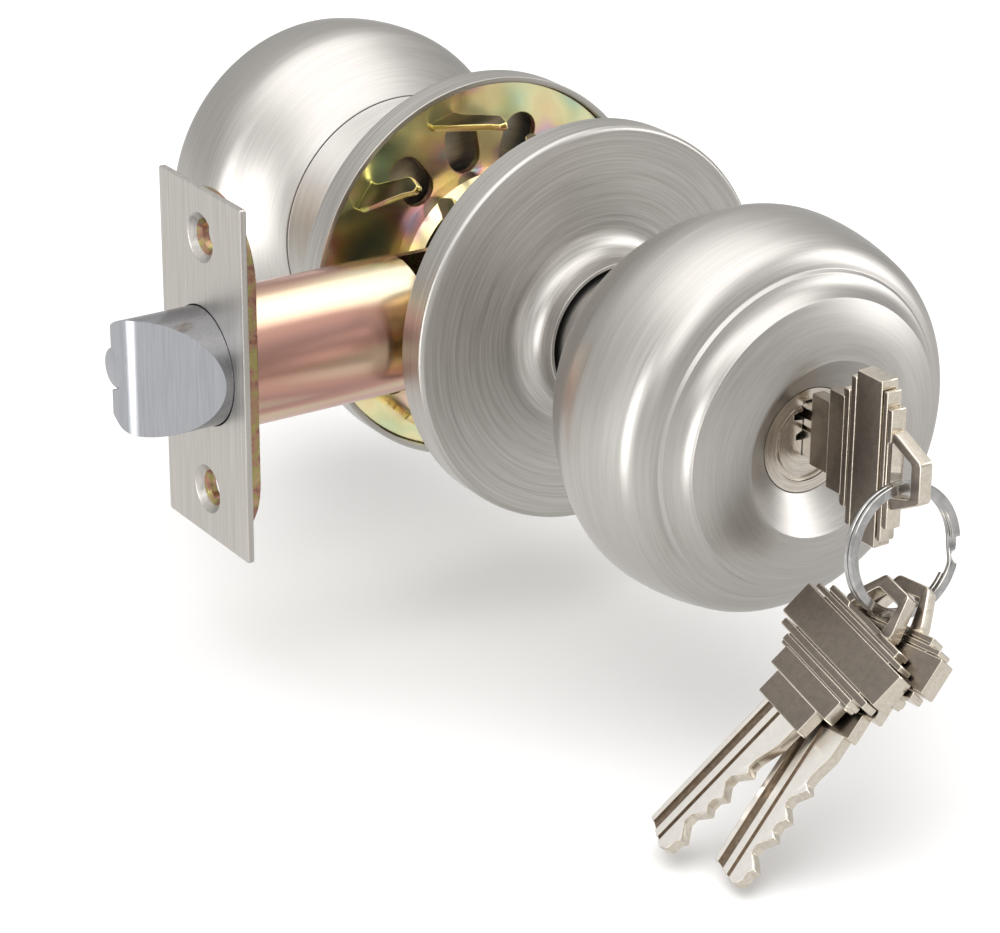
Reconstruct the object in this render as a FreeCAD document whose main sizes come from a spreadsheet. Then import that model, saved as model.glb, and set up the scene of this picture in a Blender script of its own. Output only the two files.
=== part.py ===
"""Keyed-entry ball-knob door lock with a spring latch, a key cylinder and three keys.

Frame: X runs along the latch (faceplate at -X), Y along the knob spindle (keyed side at -Y,
room side at +Y), Z is up.  The origin is where the spindle crosses the middle of the latch.
All sizes are millimetres.
"""
import FreeCAD, Part
import math
import os

import Sketcher

DOC = FreeCAD.newDocument("KnobLock")
SHEET = DOC.addObject("Spreadsheet::Sheet", "Sizes")

# Driving sizes: name -> millimetres (degrees where the name ends in _turn, _pitch or _lean)
DRIVING = {
    # where the lock sits in the door
    "backset": 60.0, "door_gap": 25.7, "plate_inset": 1.65,
    # faceplate and back plate of the latch
    "face_width": 25.4, "face_height": 57.15, "face_thick": 1.0, "face_corner": 0.4,
    "back_thick": 1.8, "back_width": 24.2, "back_height": 55.8,
    "face_screw_spacing": 41.3, "face_screw_radius": 2.25, "sink_radius": 3.9,
    # latch tube, bolt and deadlatch plunger
    "tube_radius": 10.8, "tube_wall": 1.0, "tube_end": 25.0,
    "bolt_radius": 9.4, "bolt_throw": 12.7, "bolt_rear": 46.0, "bolt_play": 0.1,
    "bolt_flat": 6.0, "bevel_reach": 11.4, "bevel_land": 2.2, "nose_round": 1.6,
    "plunger_radius": 3.2, "plunger_offset": 6.2, "plunger_length": 10.0, "plunger_back": 0.5,
    "groove_end": 47.5, "plunger_wire": 0.6, "plunger_coil": 1.55,
    "spring_wire": 1.1, "spring_coil": 7.0, "spring_turns": 5.25,
    # hub frame and bolt tail
    "web_thick": 1.6, "cheek_inner": 5.0, "cheek_thick": 1.2, "cheek_height": 8.7, "cheek_end": 12.0,
    "frame_rivet_at": 9.6, "frame_rivet_radius": 1.5,
    "tail_near": 2.6, "tail_thick": 1.5, "tail_strip": 2.8, "tail_height": 9.8,
    "tail_wide_at": 21.0, "window_start": 19.2, "window_end": 11.6, "window_height": 7.2,
    "tail_end": 13.6, "lug_thick": 1.5, "lug_face": 4.47, "lug_depth": 2.3,
    # latch cam
    "journal_radius": 6.6, "arm_reach": 9.4, "arm_round": 1.2, "arm_lean": 42.0, "arm_half": 2.3,
    "square_size": 7.6, "square_play": 0.1,
    # roses, mounting plates and what is fixed to them
    "rose_radius": 32.4, "rose_depth": 5.35, "rose_wall": 1.0, "rose_edge": 0.9,
    "collar_radius": 12.4, "collar_wall": 0.7, "collar_top": 24.3, "flare_start": 15.4,
    "plate_thick": 1.2, "slot_half": 2.9, "slot_inner": 20.0, "slot_outer": 23.4, "slot_pitch": 28.33,
    "first_slot_turn": 43.5, "screw_circle": 21.0,
    "prong_root": 26.6, "prong_half": 2.6, "prong_length": 11.5, "prong_lean": 4.6, "prong_thick": 1.2,
    "cage_radius": 17.0, "cage_mouth": 14.9, "cage_depth": 4.4, "cage_wall": 0.8,
    "post_radius": 3.1, "post_bore": 2.05, "post_length": 25.5, "post_neck": 2.2, "post_head": 3.6,
    "post_head_thick": 0.8,
    "screw_radius": 1.95, "screw_length": 27.7, "screw_head": 4.4, "screw_head_thick": 1.4,
    "coil_radius": 14.2, "coil_wire": 1.1, "coil_turns": 1.9,
    # knob shank and its bearing
    "shank_radius": 11.0, "shank_bore": 9.0, "shank_start": 12.6, "running_fit": 0.05,
    "bearing_radius": 11.55, "bearing_flange": 15.0, "bearing_top": 21.5, "bearing_flange_thick": 1.2,
    "ring_groove_at": 13.2, "ring_groove_width": 1.1, "ring_groove_depth": 0.8, "snap_radius": 12.6,
    # knob shell
    "knob_radius": 30.6, "knob_widest": 56.5, "knob_wall": 1.2, "neck_top": 30.2,
    "cap_radius": 22.3, "cap_seam": 40.0, "step_radius": 24.9, "step_at": 71.1,
    "disc_radius": 22.2, "disc_at": 74.5, "rim_radius": 14.2, "rim_at": 77.1,
    "socket_radius": 8.15, "socket_face": 72.8, "socket_back": 69.4,
    # spindle, blade and button
    "spindle_start": 30.0, "spindle_end": 40.0, "spindle_bore": 2.7, "drive_disc_at": 23.0,
    "drive_disc_thick": 1.6,
    "driver_start": 13.0, "driver_end": 42.0, "driver_radius": 6.8,
    "blade_width": 4.6, "blade_thick": 1.2, "blade_end": 70.0, "blade_grip": 1.8,
    "button_shaft": 4.5, "button_start": 44.0, "button_slot_end": 69.0, "button_face": 74.0,
    "button_thick": 3.2, "button_height": 13.2, "button_out": 6.0,
    # key cylinder
    "cylinder_radius": 8.06, "cylinder_back": 46.0, "plug_radius": 6.35, "plug_face": 72.6,
    "plug_back": 44.6, "bible_half": 3.4, "bible_bottom": 16.4, "bible_front": 69.0, "cap_thick": 0.8,
    "first_pin": 66.8, "pin_pitch": 4.0, "pin_radius": 1.45, "pin_hole": 1.5, "driver_pin_length": 3.8,
    "keyway_half": 1.1, "keyway_open": 0.15, "keyway_back": 48.2,
    "pin_wire": 0.35, "pin_coil": 1.05, "clip_radius": 7.6, "clip_depth": 0.75, "clip_width": 0.9,
    # keys and ring
    "blade_key_half": 1.0, "blade_bottom": -2.05, "blade_sunk": 0.2, "key_tip": 49.0, "key_neck": 74.4,
    "bow_middle": 2.6, "bow_half": 1.1, "band_half": 1.45, "strip_half": 1.28, "key_groove": 0.35,
    "hook_radius": 10.0, "hook_wire": 1.55, "hook_width": 1.8,
    "hook_x": -1.2, "hook_y": -96.3, "hook_z": -8.1, "hook_lean": 9.6,
}
PIN_COUNT = 5
CUT_DEPTHS = (1.2, 2.4, 1.8, 2.9, 1.5)      # bitting of the keys, from the shoulder to the tip
CUT_FLAT = 0.6                              # half the flat at the bottom of each cut


class Size:
    """A length that knows both its number and the sheet formula that gives it."""

    def __init__(self, text, value):
        self.text = text
        self.value = value

    def __add__(self, other):
        other = size(other)
        return Size(f"({self.text} + {other.text})", self.value + other.value)

    def __radd__(self, other):
        return size(other) + self

    def __sub__(self, other):
        other = size(other)
        return Size(f"({self.text} - {other.text})", self.value - other.value)

    def __rsub__(self, other):
        return size(other) - self

    def __mul__(self, other):
        other = size(other)
        return Size(f"({self.text} * {other.text})", self.value * other.value)

    def __rmul__(self, other):
        return size(other) * self

    def __truediv__(self, other):
        other = size(other)
        return Size(f"({self.text} / {other.text})", self.value / other.value)

    def __neg__(self):
        return Size(f"(0 - {self.text})", -self.value)


def size(number):
    """Turn a plain number into a Size; leave a Size as it is."""
    if isinstance(number, Size):
        return number
    return Size(f"({number})" if number < 0 else f"{number}", float(number))


def cosine(angle):
    angle = size(angle)
    return Size(f"cos({angle.text} * 1 deg)", math.cos(math.radians(angle.value)))


def sine(angle):
    angle = size(angle)
    return Size(f"sin({angle.text} * 1 deg)", math.sin(math.radians(angle.value)))


def fill_sheet():
    """Write every driving size to the sheet and return them as Sizes by name."""
    sizes = {}
    for row, (name, number) in enumerate(DRIVING.items(), start=1):
        SHEET.set(f"A{row}", name.replace("_", " "))
        SHEET.set(f"B{row}", str(number))
        SHEET.setAlias(f"B{row}", name)
        sizes[name] = Size(f"Sizes.{name}", number)
    DOC.recompute()
    return sizes


class Namespace:
    """The driving sizes as attributes."""

    def __init__(self, sizes):
        self.__dict__.update(sizes)


S = Namespace(fill_sheet())
NODES = []


# ---------------------------------------------------------------- drawing helpers

def bind(thing, path, value):
    """Bind a property of a document object to the sheet."""
    thing.setExpression(path, size(value).text)


def new_body(label):
    """A PartDesign body that becomes the node of that name."""
    body = DOC.addObject("PartDesign::Body", label)
    body.Label = label
    NODES.append(body)
    return body


def origin_plane(body, role):
    return next(plane for plane in body.Origin.OriginFeatures if plane.Role == role + "_Plane")


def new_sketch(body, plane, offset=0, turn=0.0):
    """A sketch on an origin plane, moved along its normal and turned about its own vertical."""
    sketch = body.newObject("Sketcher::SketchObject", "Sketch")
    sketch.AttachmentSupport = [(origin_plane(body, plane), "")]
    sketch.MapMode = "FlatFace"
    turned = FreeCAD.Rotation(FreeCAD.Vector(0, 1, 0), turn)
    sketch.AttachmentOffset = FreeCAD.Placement(FreeCAD.Vector(0, 0, 0), turned)
    offset = size(offset)
    bind(sketch, "AttachmentOffset.Base.x", offset * sine(turn))
    bind(sketch, "AttachmentOffset.Base.z", offset * cosine(turn))
    return sketch


def constrain(sketch, kind, edge, corner, value):
    """Add one dimension to a sketch and bind it to the sheet."""
    value = size(value)
    if kind == "Radius":
        index = sketch.addConstraint(Sketcher.Constraint(kind, edge, value.value))
    else:
        index = sketch.addConstraint(Sketcher.Constraint(kind, edge, corner, value.value))
    bind(sketch, f"Constraints[{index}]", value)


def arc_centre(start, end, radius):
    """Centre of the short arc from start to end; a positive radius keeps it on the left."""
    middle = (start + end) * 0.5
    chord = end - start
    left = FreeCAD.Vector(-chord.y, chord.x, 0).normalize()
    height = math.sqrt(max(radius * radius - chord.Length * chord.Length / 4, 0.0))
    return middle + left * math.copysign(height, radius)


def draw_loop(sketch, points):
    """Draw a closed outline.

    Each point is (across, up) or (across, up, radius); a radius makes the edge that leaves the
    point an arc, turning left where it is positive and right where it is negative.
    """
    spots = [FreeCAD.Vector(size(p[0]).value, size(p[1]).value, 0) for p in points]
    ends = []
    for place, point in enumerate(points):
        start = spots[place]
        end = spots[(place + 1) % len(spots)]
        if len(point) == 2:
            edge = sketch.addGeometry(Part.LineSegment(start, end), False)
            ends.append((edge, 1, 2))
            continue
        radius = size(point[2]).value
        centre = arc_centre(start, end, radius)
        circle = Part.Circle(centre, FreeCAD.Vector(0, 0, 1), abs(radius))
        low, high = (start, end) if radius > 0 else (end, start)
        angles = [math.atan2(spot.y - centre.y, spot.x - centre.x) for spot in (low, high)]
        edge = sketch.addGeometry(Part.ArcOfCircle(circle, angles[0], angles[1]), False)
        ends.append((edge, 1, 2) if radius > 0 else (edge, 2, 1))
    for place, (edge, _, last) in enumerate(ends):
        following, begin, _ = ends[(place + 1) % len(ends)]
        sketch.addConstraint(Sketcher.Constraint("Coincident", edge, last, following, begin))
    for place, point in enumerate(points):
        edge, begin, _ = ends[place]
        constrain(sketch, "DistanceX", edge, begin, point[0])
        constrain(sketch, "DistanceY", edge, begin, point[1])
        if len(point) == 3:
            radius = size(point[2])
            constrain(sketch, "Radius", edge, None, radius if radius.value > 0 else -radius)


def draw_circle(sketch, across, up, radius):
    spot = FreeCAD.Vector(size(across).value, size(up).value, 0)
    circle = Part.Circle(spot, FreeCAD.Vector(0, 0, 1), size(radius).value)
    edge = sketch.addGeometry(circle, False)
    constrain(sketch, "DistanceX", edge, 3, across)
    constrain(sketch, "DistanceY", edge, 3, up)
    constrain(sketch, "Radius", edge, None, radius)


def rectangle(left, bottom, right, top):
    return [(left, bottom), (right, bottom), (right, top), (left, top)]


def prism(body, plane, low, high, loops=(), circles=(), cut=False, turn=0.0):
    """Pad or cut outlines of one plane between two heights along that plane's normal."""
    low = size(low)
    high = size(high)
    sketch = new_sketch(body, plane, (low + high) / 2, turn)
    for points in loops:
        draw_loop(sketch, points)
    for circle in circles:
        draw_circle(sketch, *circle)
    kind = "PartDesign::Pocket" if cut else "PartDesign::Pad"
    feature = body.newObject(kind, "Cut" if cut else "Pad")
    feature.Profile = sketch
    feature.SideType = "Symmetric"
    bind(feature, "Length", high - low)
    body.Tip = feature
    return feature


def lathe(body, axis, points, cut=False):
    """Turn an outline about Y (points are radius, y) or about X (points are x, radius)."""
    sketch = new_sketch(body, "XY")
    draw_loop(sketch, points)
    feature = body.newObject("PartDesign::Groove" if cut else "PartDesign::Revolution", "Turned")
    feature.Profile = sketch
    feature.ReferenceAxis = (sketch, ["V_Axis" if axis == "Y" else "H_Axis"])
    feature.Angle = 360.0
    body.Tip = feature
    return feature


def tube(body, axis, inner, outer, low, high, cut=False):
    """A ring or a disc (inner 0) about an axis."""
    if axis == "Y":
        return lathe(body, axis, rectangle(inner, low, outer, high), cut)
    return lathe(body, axis, rectangle(low, inner, high, outer), cut)


def primitive(kind, name, base, axis, **lengths):
    """A Part primitive whose sizes and place are bound to the sheet; axis is where its Z points."""
    thing = DOC.addObject("Part::" + kind, name)
    for path, value in lengths.items():
        bind(thing, path, value)
    turned = FreeCAD.Rotation(FreeCAD.Vector(0, 0, 1), FreeCAD.Vector(*axis))
    thing.Placement = FreeCAD.Placement(FreeCAD.Vector(0, 0, 0), turned)
    for letter, value in zip("xyz", base):
        bind(thing, f"Placement.Base.{letter}", value)
    return thing


def block(name, low, high):
    """A Part::Box between two corners."""
    spans = [size(b) - size(a) for a, b in zip(low, high)]
    return primitive("Box", name, low, (0, 0, 1), Length=spans[0], Width=spans[1], Height=spans[2])


def cylinder(name, base, axis, radius, length):
    return primitive("Cylinder", name, base, axis, Radius=radius, Height=length)


def fuse(name, pieces):
    thing = DOC.addObject("Part::MultiFuse", name)
    thing.Shapes = pieces
    return thing


def cut_away(name, base, tool):
    thing = DOC.addObject("Part::Cut", name)
    thing.Base = base
    thing.Tool = tool
    return thing


def coil(name, base, axis, mean_radius, wire_radius, length, turns):
    """A helical spring as a swept circle; it starts at base and runs along axis."""
    helix = DOC.addObject("Part::Helix", name + "_line")
    bind(helix, "Radius", mean_radius)
    bind(helix, "Pitch", size(length) / turns)
    bind(helix, "Height", length)
    section = DOC.addObject("Part::Circle", name + "_section")
    bind(section, "Radius", wire_radius)
    section.Placement = FreeCAD.Placement(
        FreeCAD.Vector(0, 0, 0), FreeCAD.Rotation(FreeCAD.Vector(1, 0, 0), 90))
    bind(section, "Placement.Base.x", mean_radius)
    sweep = DOC.addObject("Part::Sweep", name + "_wire")
    sweep.Sections = [section]
    sweep.Spine = (helix, [])
    sweep.Solid = True
    sweep.Frenet = True
    holder = DOC.addObject("Part::Compound", name)
    holder.Links = [sweep]
    turned = FreeCAD.Rotation(FreeCAD.Vector(0, 0, 1), FreeCAD.Vector(*axis))
    holder.Placement = FreeCAD.Placement(FreeCAD.Vector(0, 0, 0), turned)
    for letter, value in zip("xyz", base):
        bind(holder, f"Placement.Base.{letter}", value)
    return holder


def node(thing, label):
    """Name an object made of Part primitives as a node."""
    thing.Label = label
    NODES.append(thing)
    return thing


def group(label, pieces):
    """One node that holds several identical solids."""
    holder = DOC.addObject("Part::Compound", label)
    holder.Links = pieces
    return node(holder, label)


# ---------------------------------------------------------------- shared places

FACE_X = -S.backset
PLATE_BACK_X = FACE_X + S.face_thick
TUBE_START_X = PLATE_BACK_X + S.back_thick
TUBE_END_X = -S.tube_end
NOSE_X = FACE_X - S.bolt_throw
BOLT_REAR_X = -S.bolt_rear
WEB_X = TUBE_END_X - 1.0
CHEEK_X = WEB_X + S.web_thick
BOLT_HOLE = S.bolt_radius + S.bolt_play
SCREW_RISE = S.face_screw_spacing / 2
CHEEK_OUTER = S.cheek_inner + S.cheek_thick
JOURNAL_HOLE = S.journal_radius + S.running_fit
SQUARE_HALF = S.square_size / 2 + S.square_play
HALF_GAP = S.door_gap / 2
PLATE_Y = HALF_GAP + S.plate_inset
PLATE_TOP = PLATE_Y + S.plate_thick
ROSE_FACE = HALF_GAP + S.rose_depth
TAIL_FAR = S.tail_near + S.tail_thick
BLADE_TOP = S.plug_radius - S.blade_sunk


# ---------------------------------------------------------------- latch

def countersink(body, x_start, x_end, radius_start):
    """Two 45-degree countersunk cuts around the faceplate screw axes."""
    depth = x_end - x_start
    for sign in (1, -1):
        cone = body.newObject("PartDesign::SubtractiveCone", "Sink")
        bind(cone, "Radius1", radius_start)
        bind(cone, "Radius2", radius_start - depth)
        bind(cone, "Height", depth)
        turned = FreeCAD.Rotation(FreeCAD.Vector(0, 0, 1), FreeCAD.Vector(1, 0, 0))
        cone.Placement = FreeCAD.Placement(FreeCAD.Vector(0, 0, 0), turned)
        bind(cone, "Placement.Base.x", x_start)
        bind(cone, "Placement.Base.z", SCREW_RISE * sign)
        body.Tip = cone


def latch_faceplate():
    body = new_body("latch_faceplate")
    half_wide = S.face_width / 2
    half_high = S.face_height / 2
    corner = S.face_corner
    outline = [(half_wide - corner, -half_high, corner), (half_wide, corner - half_high),
               (half_wide, half_high - corner, corner), (half_wide - corner, half_high),
               (corner - half_wide, half_high, corner), (-half_wide, half_high - corner),
               (-half_wide, corner - half_high, corner), (corner - half_wide, -half_high)]
    prism(body, "YZ", FACE_X, PLATE_BACK_X, [outline], [(0, 0, BOLT_HOLE)])
    countersink(body, FACE_X, PLATE_BACK_X, S.sink_radius)


def latch_back_plate():
    body = new_body("latch_back_plate")
    half_wide = S.back_width / 2
    flat_end = S.back_height / 2 - half_wide
    outline = [(half_wide, -flat_end), (half_wide, flat_end, half_wide), (0, S.back_height / 2, half_wide),
               (-half_wide, flat_end), (-half_wide, -flat_end, half_wide),
               (0, -S.back_height / 2, half_wide)]
    holes = [(0, 0, BOLT_HOLE)]
    holes += [(0, SCREW_RISE * sign, S.face_screw_radius) for sign in (1, -1)]
    prism(body, "YZ", PLATE_BACK_X, TUBE_START_X, [outline], holes)
    start_radius = S.sink_radius - S.face_thick
    countersink(body, PLATE_BACK_X, PLATE_BACK_X + (start_radius - S.face_screw_radius), start_radius)


def latch_tube():
    body = new_body("latch_tube")
    tube(body, "X", S.tube_radius - S.tube_wall, S.tube_radius, TUBE_START_X, TUBE_END_X)


def latch_bolt():
    """Bevelled bolt head: a round bar with a rounded nose, a flat for the plunger and a bevel."""
    body = new_body("latch_bolt")
    lathe(body, "X", rectangle(NOSE_X, 0, BOLT_REAR_X, S.bolt_radius))
    big = S.bolt_radius * 2
    bevel = [(NOSE_X - 1, -big), (NOSE_X + S.bevel_reach + (big - S.bolt_radius) * 0.9, -big),
             (NOSE_X + S.bevel_reach, -S.bolt_radius),
             (NOSE_X + S.nose_round * 0.29, S.bevel_land - S.nose_round * 0.71, -S.nose_round * 1.6),
             (NOSE_X, S.bevel_land + S.nose_round * 0.4),
             (NOSE_X - 1, S.bevel_land + S.nose_round * 0.4)]
    prism(body, "XY", -big, big, [bevel], cut=True)
    flat = rectangle(NOSE_X - 1, S.bolt_flat, FACE_X + 2, big)
    prism(body, "XY", -big, big, [flat], cut=True)
    groove_radius = S.plunger_radius + S.bolt_play
    sketch = new_sketch(body, "YZ", (NOSE_X - 1 - S.groove_end) / 2)
    draw_circle(sketch, S.plunger_offset, 0, groove_radius)
    pocket = body.newObject("PartDesign::Pocket", "PlungerGroove")
    pocket.Profile = sketch
    pocket.SideType = "Symmetric"
    bind(pocket, "Length", 1 - NOSE_X - S.groove_end)
    body.Tip = pocket
    prism(body, "XY", -S.tail_strip, S.tail_strip,
          [rectangle(BOLT_REAR_X - 6, -TAIL_FAR, BOLT_REAR_X + 1, -S.tail_near)], cut=True)
    prism(body, "XZ", 0, S.bolt_radius + 1, circles=[(BOLT_REAR_X - 3, 0, 1.0)], cut=True)


def deadlatch_plunger():
    body = new_body("deadlatch_plunger")
    tip_x = NOSE_X + S.plunger_back
    edge = S.plunger_radius - 0.5
    lathe(body, "X", [(tip_x, 0), (tip_x + S.plunger_length, 0),
                      (tip_x + S.plunger_length, S.plunger_radius),
                      (tip_x + 0.5, S.plunger_radius, 0.5), (tip_x, edge)])
    bind(body, "Placement.Base.y", S.plunger_offset)


def deadlatch_spring():
    start = NOSE_X + S.plunger_back + S.plunger_length + S.plunger_wire / 2
    length = -S.groove_end - S.plunger_wire / 2 - start
    node(coil("deadlatch_coil", (start, S.plunger_offset, 0), (1, 0, 0), S.plunger_coil,
              S.plunger_wire / 2, length, 7), "deadlatch_spring")


def latch_spring():
    start = BOLT_REAR_X + S.spring_wire / 2
    length = WEB_X - S.spring_wire / 2 - start
    node(coil("latch_coil", (start, 0, 0), (1, 0, 0), S.spring_coil, S.spring_wire / 2, length,
              S.spring_turns), "latch_spring")


def tail_rivet():
    node(cylinder("tail_pin", (BOLT_REAR_X - 3, -(S.bolt_radius - 0.4), 0), (0, 1, 0), 1.0,
                  S.bolt_radius - 0.4), "tail_rivet")


def bolt_tail():
    """Strip that leads back from the bolt and widens into a window around the cam."""
    body = new_body("bolt_tail")
    strip = S.tail_strip - 0.02
    front = BOLT_REAR_X - 5.9
    high = S.tail_height
    wide = -S.tail_wide_at
    outline = [(front, -strip), (wide, -strip), (wide, -high), (S.tail_end, -high), (S.tail_end, high),
               (wide, high), (wide, strip), (front, strip)]
    window = rectangle(-S.window_start, -S.window_height, S.window_end, S.window_height)
    prism(body, "XZ", S.tail_near + 0.02, TAIL_FAR - 0.02, [outline, window])
    prism(body, "XZ", S.tail_near - 1, TAIL_FAR + 1, circles=[(BOLT_REAR_X - 3, 0, 1.0)], cut=True)
    for sign in (1, -1):
        lug = rectangle(-S.lug_face, S.window_height * sign, S.lug_thick - S.lug_face,
                        (S.tail_height - 0.1) * sign)
        if sign < 0:
            lug = [lug[3], lug[2], lug[1], lug[0]]
        prism(body, "XZ", -S.lug_depth, S.tail_near + 0.1, [lug])


def hub_frame():
    """Web disc pressed into the latch tube, with two cheeks that carry the cam."""
    body = new_body("hub_frame")
    tube(body, "X", 0, S.tube_radius - S.tube_wall - S.running_fit, WEB_X, CHEEK_X)
    corner = 2.0
    high = S.cheek_height
    for sign in (1, -1):
        low, top = (S.cheek_inner, CHEEK_OUTER) if sign > 0 else (-CHEEK_OUTER, -S.cheek_inner)
        outline = [(CHEEK_X, -high), (S.cheek_end - corner, -high, corner), (S.cheek_end, corner - high),
                   (S.cheek_end, high - corner, corner), (S.cheek_end - corner, high), (CHEEK_X, high)]
        prism(body, "XZ", low, top, [outline],
              [(0, 0, JOURNAL_HOLE), (S.frame_rivet_at, 0, S.frame_rivet_radius)])
    slot_half = S.tail_strip + 0.3
    passage = rectangle(-TAIL_FAR - 0.3, -slot_half, 0.3 - S.tail_near, slot_half)
    prism(body, "YZ", WEB_X - 1, CHEEK_X + 0.5, [passage], cut=True)


def frame_rivet():
    body = new_body("frame_rivet")
    head = S.frame_rivet_radius + 0.9
    shaft = S.frame_rivet_radius
    end = CHEEK_OUTER
    lathe(body, "Y", [(0, -end - 0.5), (head, -end - 0.5), (head, -end), (shaft, -end), (shaft, end),
                      (head, end), (head, end + 0.5), (0, end + 0.5)])
    bind(body, "Placement.Base.x", S.frame_rivet_at)


def arm_outline(lean, sign):
    """Rounded finger of the cam, leaning back by an angle from straight up or straight down."""
    along = (-sine(lean), cosine(lean) * sign)
    side = (cosine(lean), sine(lean) * sign)

    def spot(out, across, radius=None):
        place = (along[0] * out + side[0] * across, along[1] * out + side[1] * across)
        return place if radius is None else place + (radius,)

    bend = S.arm_round * sign
    return [spot(size(3), -S.arm_round), spot(size(3), S.arm_round), spot(S.arm_reach, S.arm_round, bend),
            spot(S.arm_reach + S.arm_round, size(0), bend), spot(S.arm_reach, -S.arm_round)]


def latch_cam():
    body = new_body("latch_cam")
    tube(body, "Y", 0, S.journal_radius, -CHEEK_OUTER - 0.4, CHEEK_OUTER + 0.4)
    for sign in (1, -1):
        prism(body, "XZ", -S.arm_half, S.arm_half, [arm_outline(S.arm_lean, sign)])
    hole = rectangle(-SQUARE_HALF, -SQUARE_HALF, SQUARE_HALF, SQUARE_HALF)
    prism(body, "XZ", -CHEEK_OUTER - 2, CHEEK_OUTER + 2, [hole], cut=True)


# ---------------------------------------------------------------- roses and mounting plates

def mirrored(side, points):
    """Outline of (radius, height above the middle of the door) on one side of the door."""
    flipped = []
    for point in points:
        spot = (size(point[0]), size(point[1]) * side)
        flipped.append(spot if len(point) == 2 else spot + (size(point[2]) * side,))
    return flipped


def span(side, low, high):
    """A range of heights on one side of the door, as sketch offsets along -Y."""
    low, high = size(low), size(high)
    return (low, high) if side < 0 else (-high, -low)


def rose(name, side):
    body = new_body(name)
    wall = S.rose_wall
    edge = S.rose_edge
    top = S.collar_top
    collar_in = S.collar_radius - S.collar_wall
    flare = 4.2
    points = [(S.rose_radius - wall, HALF_GAP), (S.rose_radius, HALF_GAP),
              (S.rose_radius, ROSE_FACE - edge, edge), (S.rose_radius - edge, ROSE_FACE),
              (S.flare_start + 2, ROSE_FACE + 0.5, -flare), (S.collar_radius, ROSE_FACE + 4.3),
              (S.collar_radius, top), (collar_in, top), (collar_in, ROSE_FACE + 4.0, flare + 0.7),
              (S.flare_start + 1.9, ROSE_FACE + 0.5 - wall), (S.rose_radius - wall, ROSE_FACE - wall)]
    lathe(body, "Y", mirrored(side, points))


def screw_places():
    """Centres of the two mounting screws, across (x) and up (z)."""
    turn = S.first_slot_turn
    return [(S.screw_circle * cosine(turn) * sign, S.screw_circle * sine(turn) * sign) for sign in (1, -1)]


def mount_plate(name, side, first_prong):
    """Round plate with radial slots, a centre hole and four prongs that bite the door."""
    body = new_body(name)
    tube(body, "Y", S.shank_radius + 0.3, S.rose_radius - S.rose_wall - 0.05,
         *[height * side for height in (PLATE_Y, PLATE_TOP)])
    low, high = span(side, PLATE_Y - 1, PLATE_TOP + 1)
    turn = S.first_slot_turn
    for number in range(8):
        angle = turn + S.slot_pitch * (number % 4) + 180 * (number // 4)
        if side < 0 and number % 4 == 0:
            continue
        cut_slot(body, low, high, angle)
    if side < 0:
        holes = [(x, z, S.post_neck) for x, z in screw_places()]
        prism(body, "XZ", low, high, circles=holes, cut=True)
    half = S.prong_half
    for turn_about in (first_prong, first_prong + 38, first_prong + 131, first_prong + 198):
        leaf = mirrored(side, [(-half, PLATE_Y + 0.2), (-half, PLATE_Y - 0.8),
                               (S.prong_lean - 1.6, PLATE_Y - S.prong_length + 2.6),
                               (S.prong_lean - 0.5, PLATE_Y - S.prong_length + 0.4),
                               (S.prong_lean + 0.7, PLATE_Y - S.prong_length + 0.2),
                               (S.prong_lean + 1.6, PLATE_Y - S.prong_length + 3.2),
                               (half, PLATE_Y - 1.4), (half, PLATE_Y + 0.2)])
        if side < 0:
            leaf.reverse()
        prism(body, "XY", S.prong_root, S.prong_root + S.prong_thick, [leaf], turn=90 - turn_about)


def cut_slot(body, low, high, angle):
    """One radial slot with round ends."""
    out = (cosine(angle), sine(angle))
    across = (-sine(angle), cosine(angle))

    def spot(radius, offset):
        return (out[0] * radius + across[0] * offset, out[1] * radius + across[1] * offset)

    half = S.slot_half
    inner, outer = S.slot_inner, S.slot_outer
    zero = size(0)
    outline = [spot(inner, half) + (half,), spot(inner - half, zero) + (half,), spot(inner, -half),
               spot(outer, -half) + (half,), spot(outer + half, zero) + (half,), spot(outer, half)]
    prism(body, "XZ", low, high, [outline], cut=True)


def spring_cage(name, side):
    """Shallow dish on the door side of the plate that keeps the return spring in."""
    body = new_body(name)
    wall = S.cage_wall
    deep = PLATE_Y - S.cage_depth
    points = [(S.cage_radius - wall, PLATE_Y), (S.cage_radius - wall, deep + 1.9),
              (S.cage_mouth + 0.3, deep + wall), (S.cage_mouth - 1.4, deep + wall),
              (S.cage_mouth - 1.4, deep), (S.cage_mouth + 0.6, deep), (S.cage_radius, deep + 1.7),
              (S.cage_radius, PLATE_Y)]
    lathe(body, "Y", mirrored(side, points))


def return_spring(name, side):
    start = PLATE_Y - 0.3 - S.coil_wire / 2
    length = S.coil_wire * S.coil_turns
    axis = (0, -side, 0)
    node(coil(name + "_coil", (0, start * side, 0), axis, S.coil_radius, S.coil_wire / 2, length,
              S.coil_turns - 0.1), name)


def shank_bearing(name, side):
    body = new_body(name)
    bore = S.shank_radius + S.running_fit
    flange_top = PLATE_TOP + S.bearing_flange_thick
    points = [(bore, PLATE_TOP), (S.bearing_flange, PLATE_TOP), (S.bearing_flange, flange_top),
              (S.bearing_radius, flange_top), (S.bearing_radius, S.bearing_top), (bore, S.bearing_top)]
    lathe(body, "Y", mirrored(side, points))


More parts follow.
